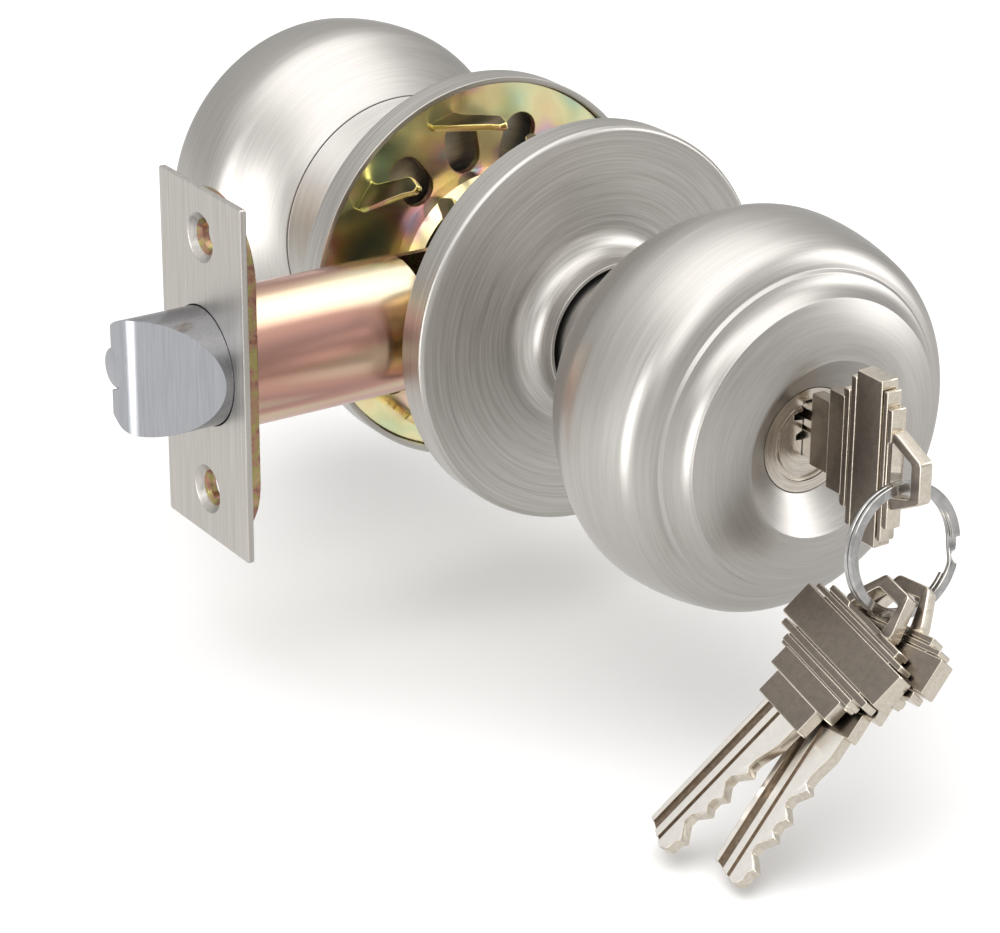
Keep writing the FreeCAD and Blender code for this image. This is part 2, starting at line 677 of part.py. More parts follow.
def outer_posts():
    pieces = []
    for number, (x, z) in enumerate(screw_places()):
        head_y = -PLATE_TOP - S.post_head_thick
        barrel = cylinder(f"post_{number}", (x, -PLATE_Y, z), (0, 1, 0), S.post_radius, S.post_length)
        neck = cylinder(f"post_neck_{number}", (x, -PLATE_TOP, z), (0, 1, 0), S.post_neck,
                        S.plate_thick)
        head = cylinder(f"post_head_{number}", (x, head_y, z), (0, 1, 0), S.post_head,
                        S.post_head_thick)
        bore = cylinder(f"post_bore_{number}", (x, head_y - 1, z), (0, 1, 0), S.post_bore,
                        S.post_length + 10)
        pieces.append(cut_away(f"post_made_{number}", fuse(f"post_solid_{number}", [barrel, neck, head]),
                               bore))
    group("outer_posts", pieces)


def mounting_screws():
    pieces = []
    for number, (x, z) in enumerate(screw_places()):
        shaft = cylinder(f"screw_{number}", (x, PLATE_TOP - S.screw_length, z), (0, 1, 0),
                         S.screw_radius, S.screw_length)
        head = cylinder(f"screw_head_{number}", (x, PLATE_TOP, z), (0, 1, 0), S.screw_head,
                        S.screw_head_thick)
        drive = [block(f"screw_slot_{number}_{way}",
                       (x - wide, PLATE_TOP + S.screw_head_thick - 1.0, z - high),
                       (x + wide, PLATE_TOP + S.screw_head_thick + 1.0, z + high))
                 for way, (wide, high) in enumerate(((2.4, 0.5), (0.5, 2.4)))]
        pieces.append(cut_away(f"screw_made_{number}", fuse(f"screw_solid_{number}", [shaft, head]),
                               fuse(f"screw_drive_{number}", drive)))
    group("mounting_screws", pieces)


# ---------------------------------------------------------------- knobs

def knob_back(name, side):
    """Rear cap of the knob with the hollow shank that turns in the bearing."""
    body = new_body(name)
    wall = S.knob_wall
    start = S.shank_start
    top = S.neck_top
    groove = S.ring_groove_at
    deep = S.shank_radius - S.ring_groove_depth
    points = [(S.shank_bore, start), (S.shank_radius, start), (S.shank_radius, groove), (deep, groove),
              (deep, groove + S.ring_groove_width), (S.shank_radius, groove + S.ring_groove_width),
              (S.shank_radius, top, -2.2), (S.shank_radius + 2.2, top + 1.7),
              (S.cap_radius, S.cap_seam), (S.cap_radius - wall * 0.8, S.cap_seam + wall * 0.75),
              (S.shank_radius + 1.4, top + 2.6), (S.shank_bore, top + 1.0)]
    lathe(body, "Y", mirrored(side, points))


def knob_shell(name, side):
    """Ball-shaped shell with a stepped front disc and a conical well around the middle."""
    body = new_body(name)
    wall = S.knob_wall
    radius = S.knob_radius
    widest = S.knob_widest
    inner_front = S.disc_at - wall
    points = [(S.cap_radius, S.cap_seam, 36), (radius - 1.9, widest - 6.5, 12.1), (radius, widest, 38),
              (radius - 1.2, widest + 9.5, 5.6), (S.step_radius + 1.5, S.step_at - 1.2),
              (S.step_radius + 0.9, S.step_at - 1.5, 1.0), (S.step_radius, S.step_at, -4.6),
              (S.disc_radius, S.disc_at, 32), (S.rim_radius, S.rim_at), (S.rim_radius - 0.6, S.rim_at),
              (S.socket_radius, S.socket_face), (S.socket_radius, S.socket_back),
              (S.socket_radius + 0.95, S.socket_back), (S.socket_radius + 0.95, S.socket_face - 0.8),
              (S.rim_radius - 0.4, S.rim_at - 1.6), (S.disc_radius - 0.9, inner_front),
              (S.step_radius - 0.9, S.step_at - 1.6), (S.step_radius + 0.2, S.step_at - 2.9),
              (radius - 2.2, widest + 9.1, -36), (radius - wall, widest, -11),
              (radius - 1.9 - wall, widest - 6.0, -35),
              (S.cap_radius - wall * 0.8, S.cap_seam + wall * 0.75)]
    lathe(body, "Y", mirrored(side, points))


def snap_ring(name, side):
    """Retaining ring in the groove of the shank, open on one side."""
    body = new_body(name)
    inner = S.shank_radius - S.ring_groove_depth + 0.05
    low = S.ring_groove_at + 0.1
    high = S.ring_groove_at + S.ring_groove_width - 0.1
    tube(body, "Y", inner, S.snap_radius, low * side, high * side)
    bottom, top = span(side, low - 1, high + 1)
    prism(body, "XZ", bottom, top, [rectangle(-1.6, inner - 2, 1.6, S.snap_radius + 1)], cut=True)


def square_loop(half):
    return rectangle(-half, -half, half, half)


def outer_spindle():
    """Square tube that turns the latch cam, with a disc held in the shank of the outer knob."""
    body = new_body("outer_spindle")
    half = S.square_size / 2
    prism(body, "XZ", -S.spindle_end, S.spindle_start, [square_loop(half)], [(0, 0, S.spindle_bore)])
    disc = S.drive_disc_at
    prism(body, "XZ", disc, disc + S.drive_disc_thick, circles=[(0, 0, S.shank_bore),
                                                               (0, 0, S.spindle_bore)])


def inner_driver():
    """Socket in the inner knob that slides over the square spindle."""
    body = new_body("inner_driver")
    low, high = span(1, S.driver_start, S.driver_end)
    prism(body, "XZ", low, high, [square_loop(SQUARE_HALF)], [(0, 0, S.driver_radius)])
    low, high = span(1, S.drive_disc_at, S.drive_disc_at + S.drive_disc_thick)
    prism(body, "XZ", low, high, [square_loop(SQUARE_HALF)], [(0, 0, S.shank_bore)])


# ---------------------------------------------------------------- key cylinder

def pin_heights():
    """Height of the cut under each pin, from the first pin to the last."""
    return [S.blade_bottom + depth for depth in CUT_DEPTHS]


def pin_places():
    return [-(S.first_pin - S.pin_pitch * number) for number in range(PIN_COUNT)]


def cylinder_body():
    body = new_body("cylinder_body")
    bore = S.plug_radius + S.running_fit
    prism(body, "XZ", S.cylinder_back, S.bible_front,
          [rectangle(-S.bible_half, -S.bible_bottom, S.bible_half, -5)])
    tube(body, "Y", 0, S.cylinder_radius, -S.socket_face, -S.cylinder_back)
    tube(body, "Y", 0, bore, -S.socket_face - 1, 1 - S.cylinder_back, cut=True)
    circles = [(0, y, S.pin_hole) for y in pin_places()]
    prism(body, "XY", -S.bible_bottom - 1, -4, circles=circles, cut=True)


def cylinder_cap():
    node(block("cap_strip", (-S.bible_half, -S.bible_front, -S.bible_bottom - S.cap_thick),
               (S.bible_half, -S.cylinder_back, -S.bible_bottom)), "cylinder_cap")


def driver_pins():
    top = S.plug_radius + S.running_fit + 0.05
    pieces = [cylinder(f"driver_pin_{number}", (0, y, -top), (0, 0, -1), S.pin_radius,
                       S.driver_pin_length) for number, y in enumerate(pin_places())]
    group("driver_pins", pieces)


def pin_springs():
    start = S.plug_radius + S.running_fit + 0.05 + S.driver_pin_length + S.pin_wire
    length = S.bible_bottom - S.pin_wire - start
    pieces = [coil(f"pin_coil_{number}", (0, y, -start), (0, 0, -1), S.pin_coil, S.pin_wire / 2,
                   length, 8) for number, y in enumerate(pin_places())]
    group("pin_springs", pieces)


def cylinder_plug():
    body = new_body("cylinder_plug")
    radius = S.plug_radius
    clip_at = S.cylinder_back - 0.1
    deep = radius - S.clip_depth
    lathe(body, "Y", [(0, -S.plug_face), (radius - 0.9, -S.plug_face), (radius - 0.9, 0.25 - S.plug_face),
                      (radius - 0.5, 0.25 - S.plug_face), (radius - 0.5, -S.plug_face),
                      (radius, -S.plug_face), (radius, -clip_at), (deep, -clip_at),
                      (deep, S.clip_width - clip_at), (radius, S.clip_width - clip_at),
                      (radius, -S.plug_back), (0, -S.plug_back)])
    keyway = rectangle(-S.keyway_half, S.blade_bottom - 0.1, S.keyway_half, S.plug_radius + S.keyway_open)
    prism(body, "XZ", S.keyway_back, S.plug_face + 1, [keyway], cut=True)
    circles = [(0, y, S.pin_hole) for y in pin_places()]
    prism(body, "XY", -radius - 1, 1.3, circles=circles, cut=True)
    half_wide = S.blade_width / 2 + 0.05
    half_thick = S.blade_thick / 2 + 0.05
    prism(body, "XZ", S.plug_back - 1, S.plug_back + S.blade_grip,
          [rectangle(-half_wide, -half_thick, half_wide, half_thick)], cut=True)


def key_pins():
    pieces = []
    foot = (S.plug_radius - 0.18)
    for number, (y, height) in enumerate(zip(pin_places(), pin_heights())):
        shoulder = height - 0.85
        shaft = cylinder(f"key_pin_{number}", (0, y, -foot), (0, 0, 1), S.pin_radius, shoulder + foot)
        tip = primitive("Cone", f"key_pin_tip_{number}", (0, y, shoulder), (0, 0, 1),
                        Radius1=S.pin_radius, Radius2=0.5, Height=0.8)
        pieces.append(fuse(f"key_pin_made_{number}", [shaft, tip]))
    group("key_pins", pieces)


def plug_clip():
    """Open spring clip at the back of the plug."""
    body = new_body("plug_clip")
    start = S.cylinder_back - 0.15
    inner = S.plug_radius - S.clip_depth + 0.05
    tube(body, "Y", inner, S.clip_radius, -start, S.clip_width - 0.1 - start)
    prism(body, "XZ", start - 2, start + 1, [rectangle(-3.2, inner - 3, 3.2, S.clip_radius + 1)], cut=True)


def torque_blade():
    """Flat bar that carries the turn of the plug to the button on the room side."""
    front = -(S.plug_back + S.blade_grip - 0.1)
    node(block("torque_bar", (-S.blade_width / 2, front, -S.blade_thick / 2),
               (S.blade_width / 2, S.blade_end, S.blade_thick / 2)), "torque_blade")


def turn_button():
    """Turn button of the room side, on a shaft that is slotted for the torque blade."""
    body = new_body("turn_button")
    face = S.button_face
    plug = S.socket_radius - 0.1
    lathe(body, "Y", [(0, S.button_start), (S.button_shaft, S.button_start),
                      (S.button_shaft, S.socket_back), (plug, S.socket_back), (plug, face - 0.5, 0.5),
                      (plug - 0.5, face), (0, face)])
    low, high = span(1, face - 0.1, face + S.button_out)
    half = S.button_thick / 2
    tall = S.button_height / 2
    prism(body, "XZ", low, high, [slot_upright(half, tall)])
    low, high = span(1, S.button_start - 1, S.button_slot_end + 2)
    wide = S.blade_width / 2 + 0.1
    thin = S.blade_thick / 2 + 0.1
    prism(body, "XZ", low, high, [rectangle(-wide, -thin, wide, thin)], cut=True)


def slot_upright(half, tall):
    """Outline of an upright bar with round ends."""
    end = tall - half
    return [(half, -end), (half, end, half), (0, tall, half), (-half, end), (-half, -end, half),
            (0, -tall, half)]


def button_clip():
    node(cut_away("button_ring",
                  cylinder("button_ring_outer", (0, S.socket_back - 1.1, 0), (0, 1, 0), 9.0, 0.8),
                  cylinder("button_ring_hole", (0, S.socket_back - 2, 0), (0, 1, 0),
                           S.button_shaft + 0.02, 3)), "button_clip")


# ---------------------------------------------------------------- keys and ring

def blade_outline():
    """Side outline of a key blade with its cuts, as (y, z) with the tip towards +Y."""
    bottom = S.blade_bottom
    tip = -S.key_tip
    neck = -S.key_neck
    outline = [(neck - 1, BLADE_TOP), (neck - 1, bottom), (neck + 3.2, bottom)]
    slope = 2.0 - CUT_FLAT
    places = pin_places()
    previous = None
    for y, depth in zip(places, CUT_DEPTHS):
        if previous is not None:
            ridge = (previous + depth - slope * 2) / 2
            shift = (previous - ridge)
            outline.append((y - S.pin_pitch + CUT_FLAT + shift, bottom + ridge))
        outline.append((y - CUT_FLAT, bottom + depth))
        outline.append((y + CUT_FLAT, bottom + depth))
        previous = depth
    outline.append((tip - 0.6, bottom + 1.9))
    outline.append((tip, bottom + 2.9))
    outline.append((tip - 1.9, BLADE_TOP))
    return outline


def key(name, placement=None):
    """Flat key: cut blade, stepped shoulders, raised ribs across the bow and a five-sided loop."""
    body = new_body(name)
    middle = S.bow_middle
    thick = S.blade_key_half
    prism(body, "YZ", -thick, thick, [blade_outline()])
    bow = S.bow_half
    neck = -S.key_neck

    def bar(outer, inner, half, thickness):
        prism(body, "YZ", -thickness, thickness,
              [rectangle(outer, middle - half, inner, middle + half)])

    bar(neck - 4.1, neck, 5.6, bow)
    bar(neck - 7.4, neck - 4.0, 7.7, bow)
    bar(neck - 8.7, neck - 7.5, 9.1, S.strip_half)
    bar(neck - 10.1, neck - 8.9, 11.5, S.strip_half)
    bar(neck - 15.9, neck - 10.3, 12.8, S.band_half)
    bar(neck - 17.0, neck - 16.1, 11.5, S.strip_half)
    bar(neck - 18.2, neck - 17.2, 9.2, S.strip_half)
    bar(neck - 18.2, neck - 7.0, 9.0, bow)
    loop = [(neck - 18.0, middle - 6.4), (neck - 18.0, middle + 6.4), (neck - 24.6, middle + 3.2),
            (neck - 24.6, middle - 3.0)]
    hole = [(neck - 17.6, middle - 3.7), (neck - 17.6, middle + 4.0), (neck - 18.4, middle + 4.3),
            (neck - 22.5, middle + 2.5), (neck - 22.5, middle - 2.7), (neck - 18.4, middle - 3.9)]
    prism(body, "YZ", -bow, bow, [loop])
    prism(body, "YZ", -bow - 1, bow + 1, [hole], cut=True)
    groove = rectangle(neck + 0.6 - 4, BLADE_TOP - 2.3, 2 - S.key_tip, BLADE_TOP - 0.9)
    prism(body, "YZ", -thick - 1, S.key_groove - thick, [groove], cut=True)
    second = rectangle(neck + 1, S.blade_bottom + 2.9, 2 - S.key_tip, S.blade_bottom + 4.1)
    prism(body, "YZ", thick - S.key_groove, thick + 1, [second], cut=True)
    if placement is not None:
        body.Placement = placement
    return body


def key_ring():
    """Split ring of flat double wire; a fine groove parts its two turns."""
    body = new_body("key_ring")
    outer = S.hook_radius
    inner = outer - S.hook_wire
    half = S.hook_width / 2
    notch = 0.15
    lathe(body, "Y", [(inner + 0.25, -half), (outer - 0.25, -half), (outer, 0.25 - half),
                      (outer, -notch), (outer - notch, 0), (outer, notch), (outer, half - 0.25),
                      (outer - 0.25, half), (inner + 0.25, half), (inner, half - 0.25),
                      (inner, notch), (inner + notch, 0), (inner, -notch), (inner, 0.25 - half)])
    body.Placement = FreeCAD.Placement(
        FreeCAD.Vector(0, 0, 0), FreeCAD.Rotation(FreeCAD.Vector(1, 0, 0), -DRIVING["hook_lean"]))
    for letter, value in zip("xyz", (S.hook_x, S.hook_y, S.hook_z)):
        bind(body, f"Placement.Base.{letter}", value)


def spare_placement(blade, normal, hole_at):
    """Placement that points a key's blade along one way, its face along another, its hole at a spot."""
    normal = FreeCAD.Vector(*normal).normalize()
    blade = FreeCAD.Vector(*blade)
    blade = (blade - normal * blade.dot(normal)).normalize()
    spine = normal.cross(blade)
    turned = FreeCAD.Rotation(normal, blade, spine, "XYZ")
    hole = FreeCAD.Vector(0, -(DRIVING["key_neck"] + 20.2), DRIVING["bow_middle"] + SPARE_SHIFT)
    return FreeCAD.Placement(FreeCAD.Vector(*hole_at) - turned.multVec(hole), turned)


SPARE_NORMAL = (0.71, 0.0, -0.70)
SPARE_SHIFT = -0.2
FRONT_BLADE = (-0.690, 0.190, -0.695)
BACK_BLADE = (-0.698, -0.073, -0.708)
FRONT_HOLE = (-5.6, -97.6, -16.1)
BACK_HOLE = (-1.8, -97.83, -16.78)


# ---------------------------------------------------------------- the whole lock

def build():
    latch_faceplate()
    latch_back_plate()
    latch_tube()
    hub_frame()
    frame_rivet()
    latch_spring()
    latch_bolt()
    tail_rivet()
    bolt_tail()
    deadlatch_plunger()
    deadlatch_spring()
    latch_cam()
    for name, side in (("outer", -1), ("inner", 1)):
        rose(f"{name}_rose", side)
        mount_plate(f"{name}_mount_plate", side, 106)
        spring_cage(f"{name}_spring_cage", side)
        return_spring(f"{name}_return_spring", side)
        shank_bearing(f"{name}_bearing", side)
        knob_back(f"{name}_knob_back", side)
        knob_shell(f"{name}_knob_shell", side)
        snap_ring(f"{name}_snap_ring", side)
    outer_posts()
    mounting_screws()
    outer_spindle()
    inner_driver()
    cylinder_body()
    cylinder_cap()
    driver_pins()
    pin_springs()
    cylinder_plug()
    key_pins()
    plug_clip()
    torque_blade()
    turn_button()
    button_clip()
    key("key")
    key_ring()
    key("spare_key_front", spare_placement(FRONT_BLADE, SPARE_NORMAL, FRONT_HOLE))
    key("spare_key_back", spare_placement(BACK_BLADE, SPARE_NORMAL, BACK_HOLE))


def check():
    """Stop if any object failed or any node is not a sound shape."""
    for thing in DOC.Objects:
        bad = [word for word in thing.State if word in ("Invalid", "Error")]
        if bad:
            raise RuntimeError(f"{thing.Label} ({thing.Name}) is {bad}")
    for thing in NODES:
        shape = thing.Shape
        if shape.isNull() or not shape.isValid() or not shape.Solids:
            raise RuntimeError(f"{thing.Label} is not a sound solid")


def save():
    os.makedirs("parts", exist_ok=True)
    for thing in NODES:
        thing.Shape.exportStep(f"parts/{thing.Label}.step")


build()
DOC.recompute()
check()
save()
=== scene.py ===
"""Looks of a keyed ball-knob door lockset, built around its packed CAD frame.

X runs along the latch (faceplate at -X), Y along the knob axis (keyed side at -Y), Z is up.
Lengths are written in millimetres and turned to metres where a mesh is made.
"""

import math

import bmesh
import bpy
from mathutils import Matrix, Vector
from mathutils.geometry import tessellate_polygon


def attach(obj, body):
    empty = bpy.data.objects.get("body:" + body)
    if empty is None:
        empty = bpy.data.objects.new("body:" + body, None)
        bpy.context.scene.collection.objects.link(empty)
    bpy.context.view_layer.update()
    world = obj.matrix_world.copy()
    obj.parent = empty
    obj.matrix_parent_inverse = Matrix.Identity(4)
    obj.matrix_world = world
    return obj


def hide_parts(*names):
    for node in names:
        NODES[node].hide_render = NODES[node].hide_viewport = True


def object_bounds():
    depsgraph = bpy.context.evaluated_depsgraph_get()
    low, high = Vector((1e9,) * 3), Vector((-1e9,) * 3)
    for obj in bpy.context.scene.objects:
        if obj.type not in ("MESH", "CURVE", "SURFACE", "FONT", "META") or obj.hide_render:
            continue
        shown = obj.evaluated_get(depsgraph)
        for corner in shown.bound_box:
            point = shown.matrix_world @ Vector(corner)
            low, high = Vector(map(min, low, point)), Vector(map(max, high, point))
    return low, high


bl_info = {
    "name": "Knob Lockset Looks",
    "version": (1, 0, 0),
    "blender": (4, 5, 0),
    "location": "3D View > Sidebar > Lockset",
    "description": "Builds the visible pieces, finishes and studio of a ball-knob door lockset",
    "category": "Object",
}

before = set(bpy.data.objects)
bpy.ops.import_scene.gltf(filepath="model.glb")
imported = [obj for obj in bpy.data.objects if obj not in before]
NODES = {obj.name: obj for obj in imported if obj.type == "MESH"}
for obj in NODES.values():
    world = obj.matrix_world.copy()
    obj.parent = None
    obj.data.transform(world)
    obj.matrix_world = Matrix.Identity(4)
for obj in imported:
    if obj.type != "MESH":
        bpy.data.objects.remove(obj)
CAD_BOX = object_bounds()
MM = 0.001


# ---------------------------------------------------------------- colours and nodes

def linear(hex_colour):
    """An sRGB hex colour as linear red, green, blue and alpha."""
    parts = [int(hex_colour[place:place + 2], 16) / 255 for place in (1, 3, 5)]
    return [v / 12.92 if v <= 0.04045 else ((v + 0.055) / 1.055) ** 2.4 for v in parts] + [1.0]


def srgb(hex_colour):
    """The default of a colour property from an sRGB hex colour."""
    return tuple(linear(hex_colour)[:3])


def feed(tree, node, inputs):
    """Give sockets (by name or number) of a node a value, or a link from a node's output."""
    for socket, value in inputs.items():
        if isinstance(value, bpy.types.NodeSocket):
            tree.links.new(value, node.inputs[socket])
        else:
            node.inputs[socket].default_value = value


def add(tree, kind, inputs=None, stops=(), **settings):
    """Add a node with its settings; inputs maps its sockets to values or to nodes' outputs.

    stops are the (place, hex or linear colour) of a colour ramp.
    """
    made = tree.nodes.new(kind)
    while stops and len(made.color_ramp.elements) < len(stops):
        made.color_ramp.elements.new(0.5)
    for number, (place, colour) in enumerate(stops):
        stop = made.color_ramp.elements[number]
        stop.position = place
        stop.color = linear(colour) if isinstance(colour, str) else colour
    for name, value in settings.items():
        setattr(made, name, value)
    feed(tree, made, inputs or {})
    return made


def new_material(name):
    """An empty material with its shader and output; returns the material, tree and shader."""
    material = bpy.data.materials.new(name)
    material.use_nodes = True
    tree = material.node_tree
    tree.nodes.clear()
    shader = add(tree, "ShaderNodeBsdfPrincipled")
    add(tree, "ShaderNodeOutputMaterial", {"Surface": shader.outputs[0]})
    return material, tree, shader


def stretched(tree, scale):
    """Object coordinates in metres, multiplied along each axis."""
    place = add(tree, "ShaderNodeTexCoord")
    return add(tree, "ShaderNodeMapping", {0: place.outputs["Object"], 3: scale}).outputs[0]


def turned_lines(tree, line_mm, streak):
    """A noise that runs in circles about the knob axis, as a turned and brushed face shows."""
    place = add(tree, "ShaderNodeTexCoord")
    split = add(tree, "ShaderNodeSeparateXYZ", {0: place.outputs["Object"]})
    flat = add(tree, "ShaderNodeCombineXYZ", {0: split.outputs[0], 1: 0.0, 2: split.outputs[2]})
    radius = add(tree, "ShaderNodeVectorMath", {0: flat.outputs[0]}, operation="LENGTH")
    unit = add(tree, "ShaderNodeVectorMath", {0: flat.outputs[0]}, operation="NORMALIZE")
    spun = add(tree, "ShaderNodeSeparateXYZ", {0: unit.outputs[0]})
    per_metre = 1000 / line_mm
    across = add(tree, "ShaderNodeMath", {0: radius.outputs["Value"], 1: per_metre},
                 operation="MULTIPLY")
    along = add(tree, "ShaderNodeMath", {0: split.outputs[1], 1: per_metre}, operation="MULTIPLY")
    turn = add(tree, "ShaderNodeMath", {0: spun.outputs[0], 1: streak}, operation="MULTIPLY")
    rise = add(tree, "ShaderNodeMath", {0: spun.outputs[2], 1: streak}, operation="MULTIPLY")
    vector = add(tree, "ShaderNodeCombineXYZ",
                 {0: across.outputs[0], 1: turn.outputs[0], 2: rise.outputs[0]})
    noise = add(tree, "ShaderNodeTexNoise", {"Vector": vector.outputs[0], "W": along.outputs[0],
                                             "Scale": 1.0, "Detail": 2.0, "Roughness": 0.55},
                noise_dimensions="4D")
    return noise.outputs[0]


def straight_lines(tree, scale):
    """A noise drawn out along one axis, as a face brushed along that axis shows."""
    noise = add(tree, "ShaderNodeTexNoise", {"Vector": stretched(tree, scale), "Scale": 1.0,
                                             "Detail": 2.0, "Roughness": 0.55})
    return noise.outputs[0]


def brushed(name, lines, dark, light, roughness, spread, depth_mm, anisotropic=0.0, axis=None):
    """A metal whose brushing shows in colour, roughness and relief.

    lines is a function of the tree that gives the brushing; spread is how far it moves roughness.
    """
    material, tree, shader = new_material(name)
    grain = lines(tree)
    tint = add(tree, "ShaderNodeValToRGB", {0: grain}, [(0.25, dark), (0.75, light)])
    rough = add(tree, "ShaderNodeMapRange", {0: grain, 1: 0.25, 2: 0.75, 3: roughness - spread,
                                             4: roughness + spread})
    relief = add(tree, "ShaderNodeBump", {"Strength": 1.0, "Distance": depth_mm * MM,
                                          "Height": grain})
    feed(tree, shader, {"Base Color": tint.outputs[0], "Roughness": rough.outputs[0],
                        "Normal": relief.outputs[0], "Metallic": 1.0})
    if anisotropic:
        along = add(tree, "ShaderNodeTangent", direction_type="RADIAL", axis=axis)
        feed(tree, shader, {"Anisotropic": anisotropic, "Tangent": along.outputs[0]})
    return material


def mottled(name, scale_mm, stops, roughness, spread, metallic, depth_mm):
    """A finish whose colour wanders in patches, with fine pits."""
    material, tree, shader = new_material(name)
    place = stretched(tree, [1000 / scale_mm] * 3)
    patches = add(tree, "ShaderNodeTexNoise", {"Vector": place, "Scale": 1.0, "Detail": 3.0,
                                               "Roughness": 0.5, "Distortion": 0.6})
    fine = add(tree, "ShaderNodeTexNoise", {"Vector": place, "Scale": 9.0, "Detail": 2.0})
    tint = add(tree, "ShaderNodeValToRGB", {0: patches.outputs[0]}, stops)
    rough = add(tree, "ShaderNodeMapRange", {0: fine.outputs[0], 1: 0.3, 2: 0.7,
                                             3: roughness - spread, 4: roughness + spread})
    relief = add(tree, "ShaderNodeBump", {"Strength": 1.0, "Distance": depth_mm * MM,
                                          "Height": fine.outputs[0]})
    feed(tree, shader, {"Base Color": tint.outputs[0], "Roughness": rough.outputs[0],
                        "Normal": relief.outputs[0], "Metallic": metallic})
    return material


def chromate(name, patch_mm, stops, roughness, wave_mm=0.0):
    """Zinc plate passed through a chromate bath: a thin film whose colour drifts in patches.

    patch_mm is the size of its patches along each axis; wave_mm is the height of the shallow
    waves that pressing leaves in sheet.
    """
    material, tree, shader = new_material(name)
    place = stretched(tree, [1000 / size for size in patch_mm])
    patches = add(tree, "ShaderNodeTexNoise", {"Vector": place, "Scale": 1.0, "Detail": 1.5,
                                               "Roughness": 0.45, "Distortion": 0.4})
    tint = add(tree, "ShaderNodeValToRGB", {0: patches.outputs[0]}, stops)
    fine = add(tree, "ShaderNodeTexNoise", {"Vector": place, "Scale": 14.0, "Detail": 2.0})
    relief = add(tree, "ShaderNodeBump", {"Strength": 0.6, "Distance": 0.006 * MM,
                                          "Height": fine.outputs[0]})
    if wave_mm:
        wave = add(tree, "ShaderNodeTexNoise", {"Vector": place, "Scale": 1.1, "Detail": 0.5})
        relief = add(tree, "ShaderNodeBump", {"Strength": 1.0, "Distance": wave_mm * MM,
                                              "Height": wave.outputs[0],
                                              "Normal": relief.outputs[0]})
    feed(tree, shader, {"Base Color": tint.outputs[0], "Roughness": roughness,
                        "Normal": relief.outputs[0], "Metallic": 1.0})
    return material


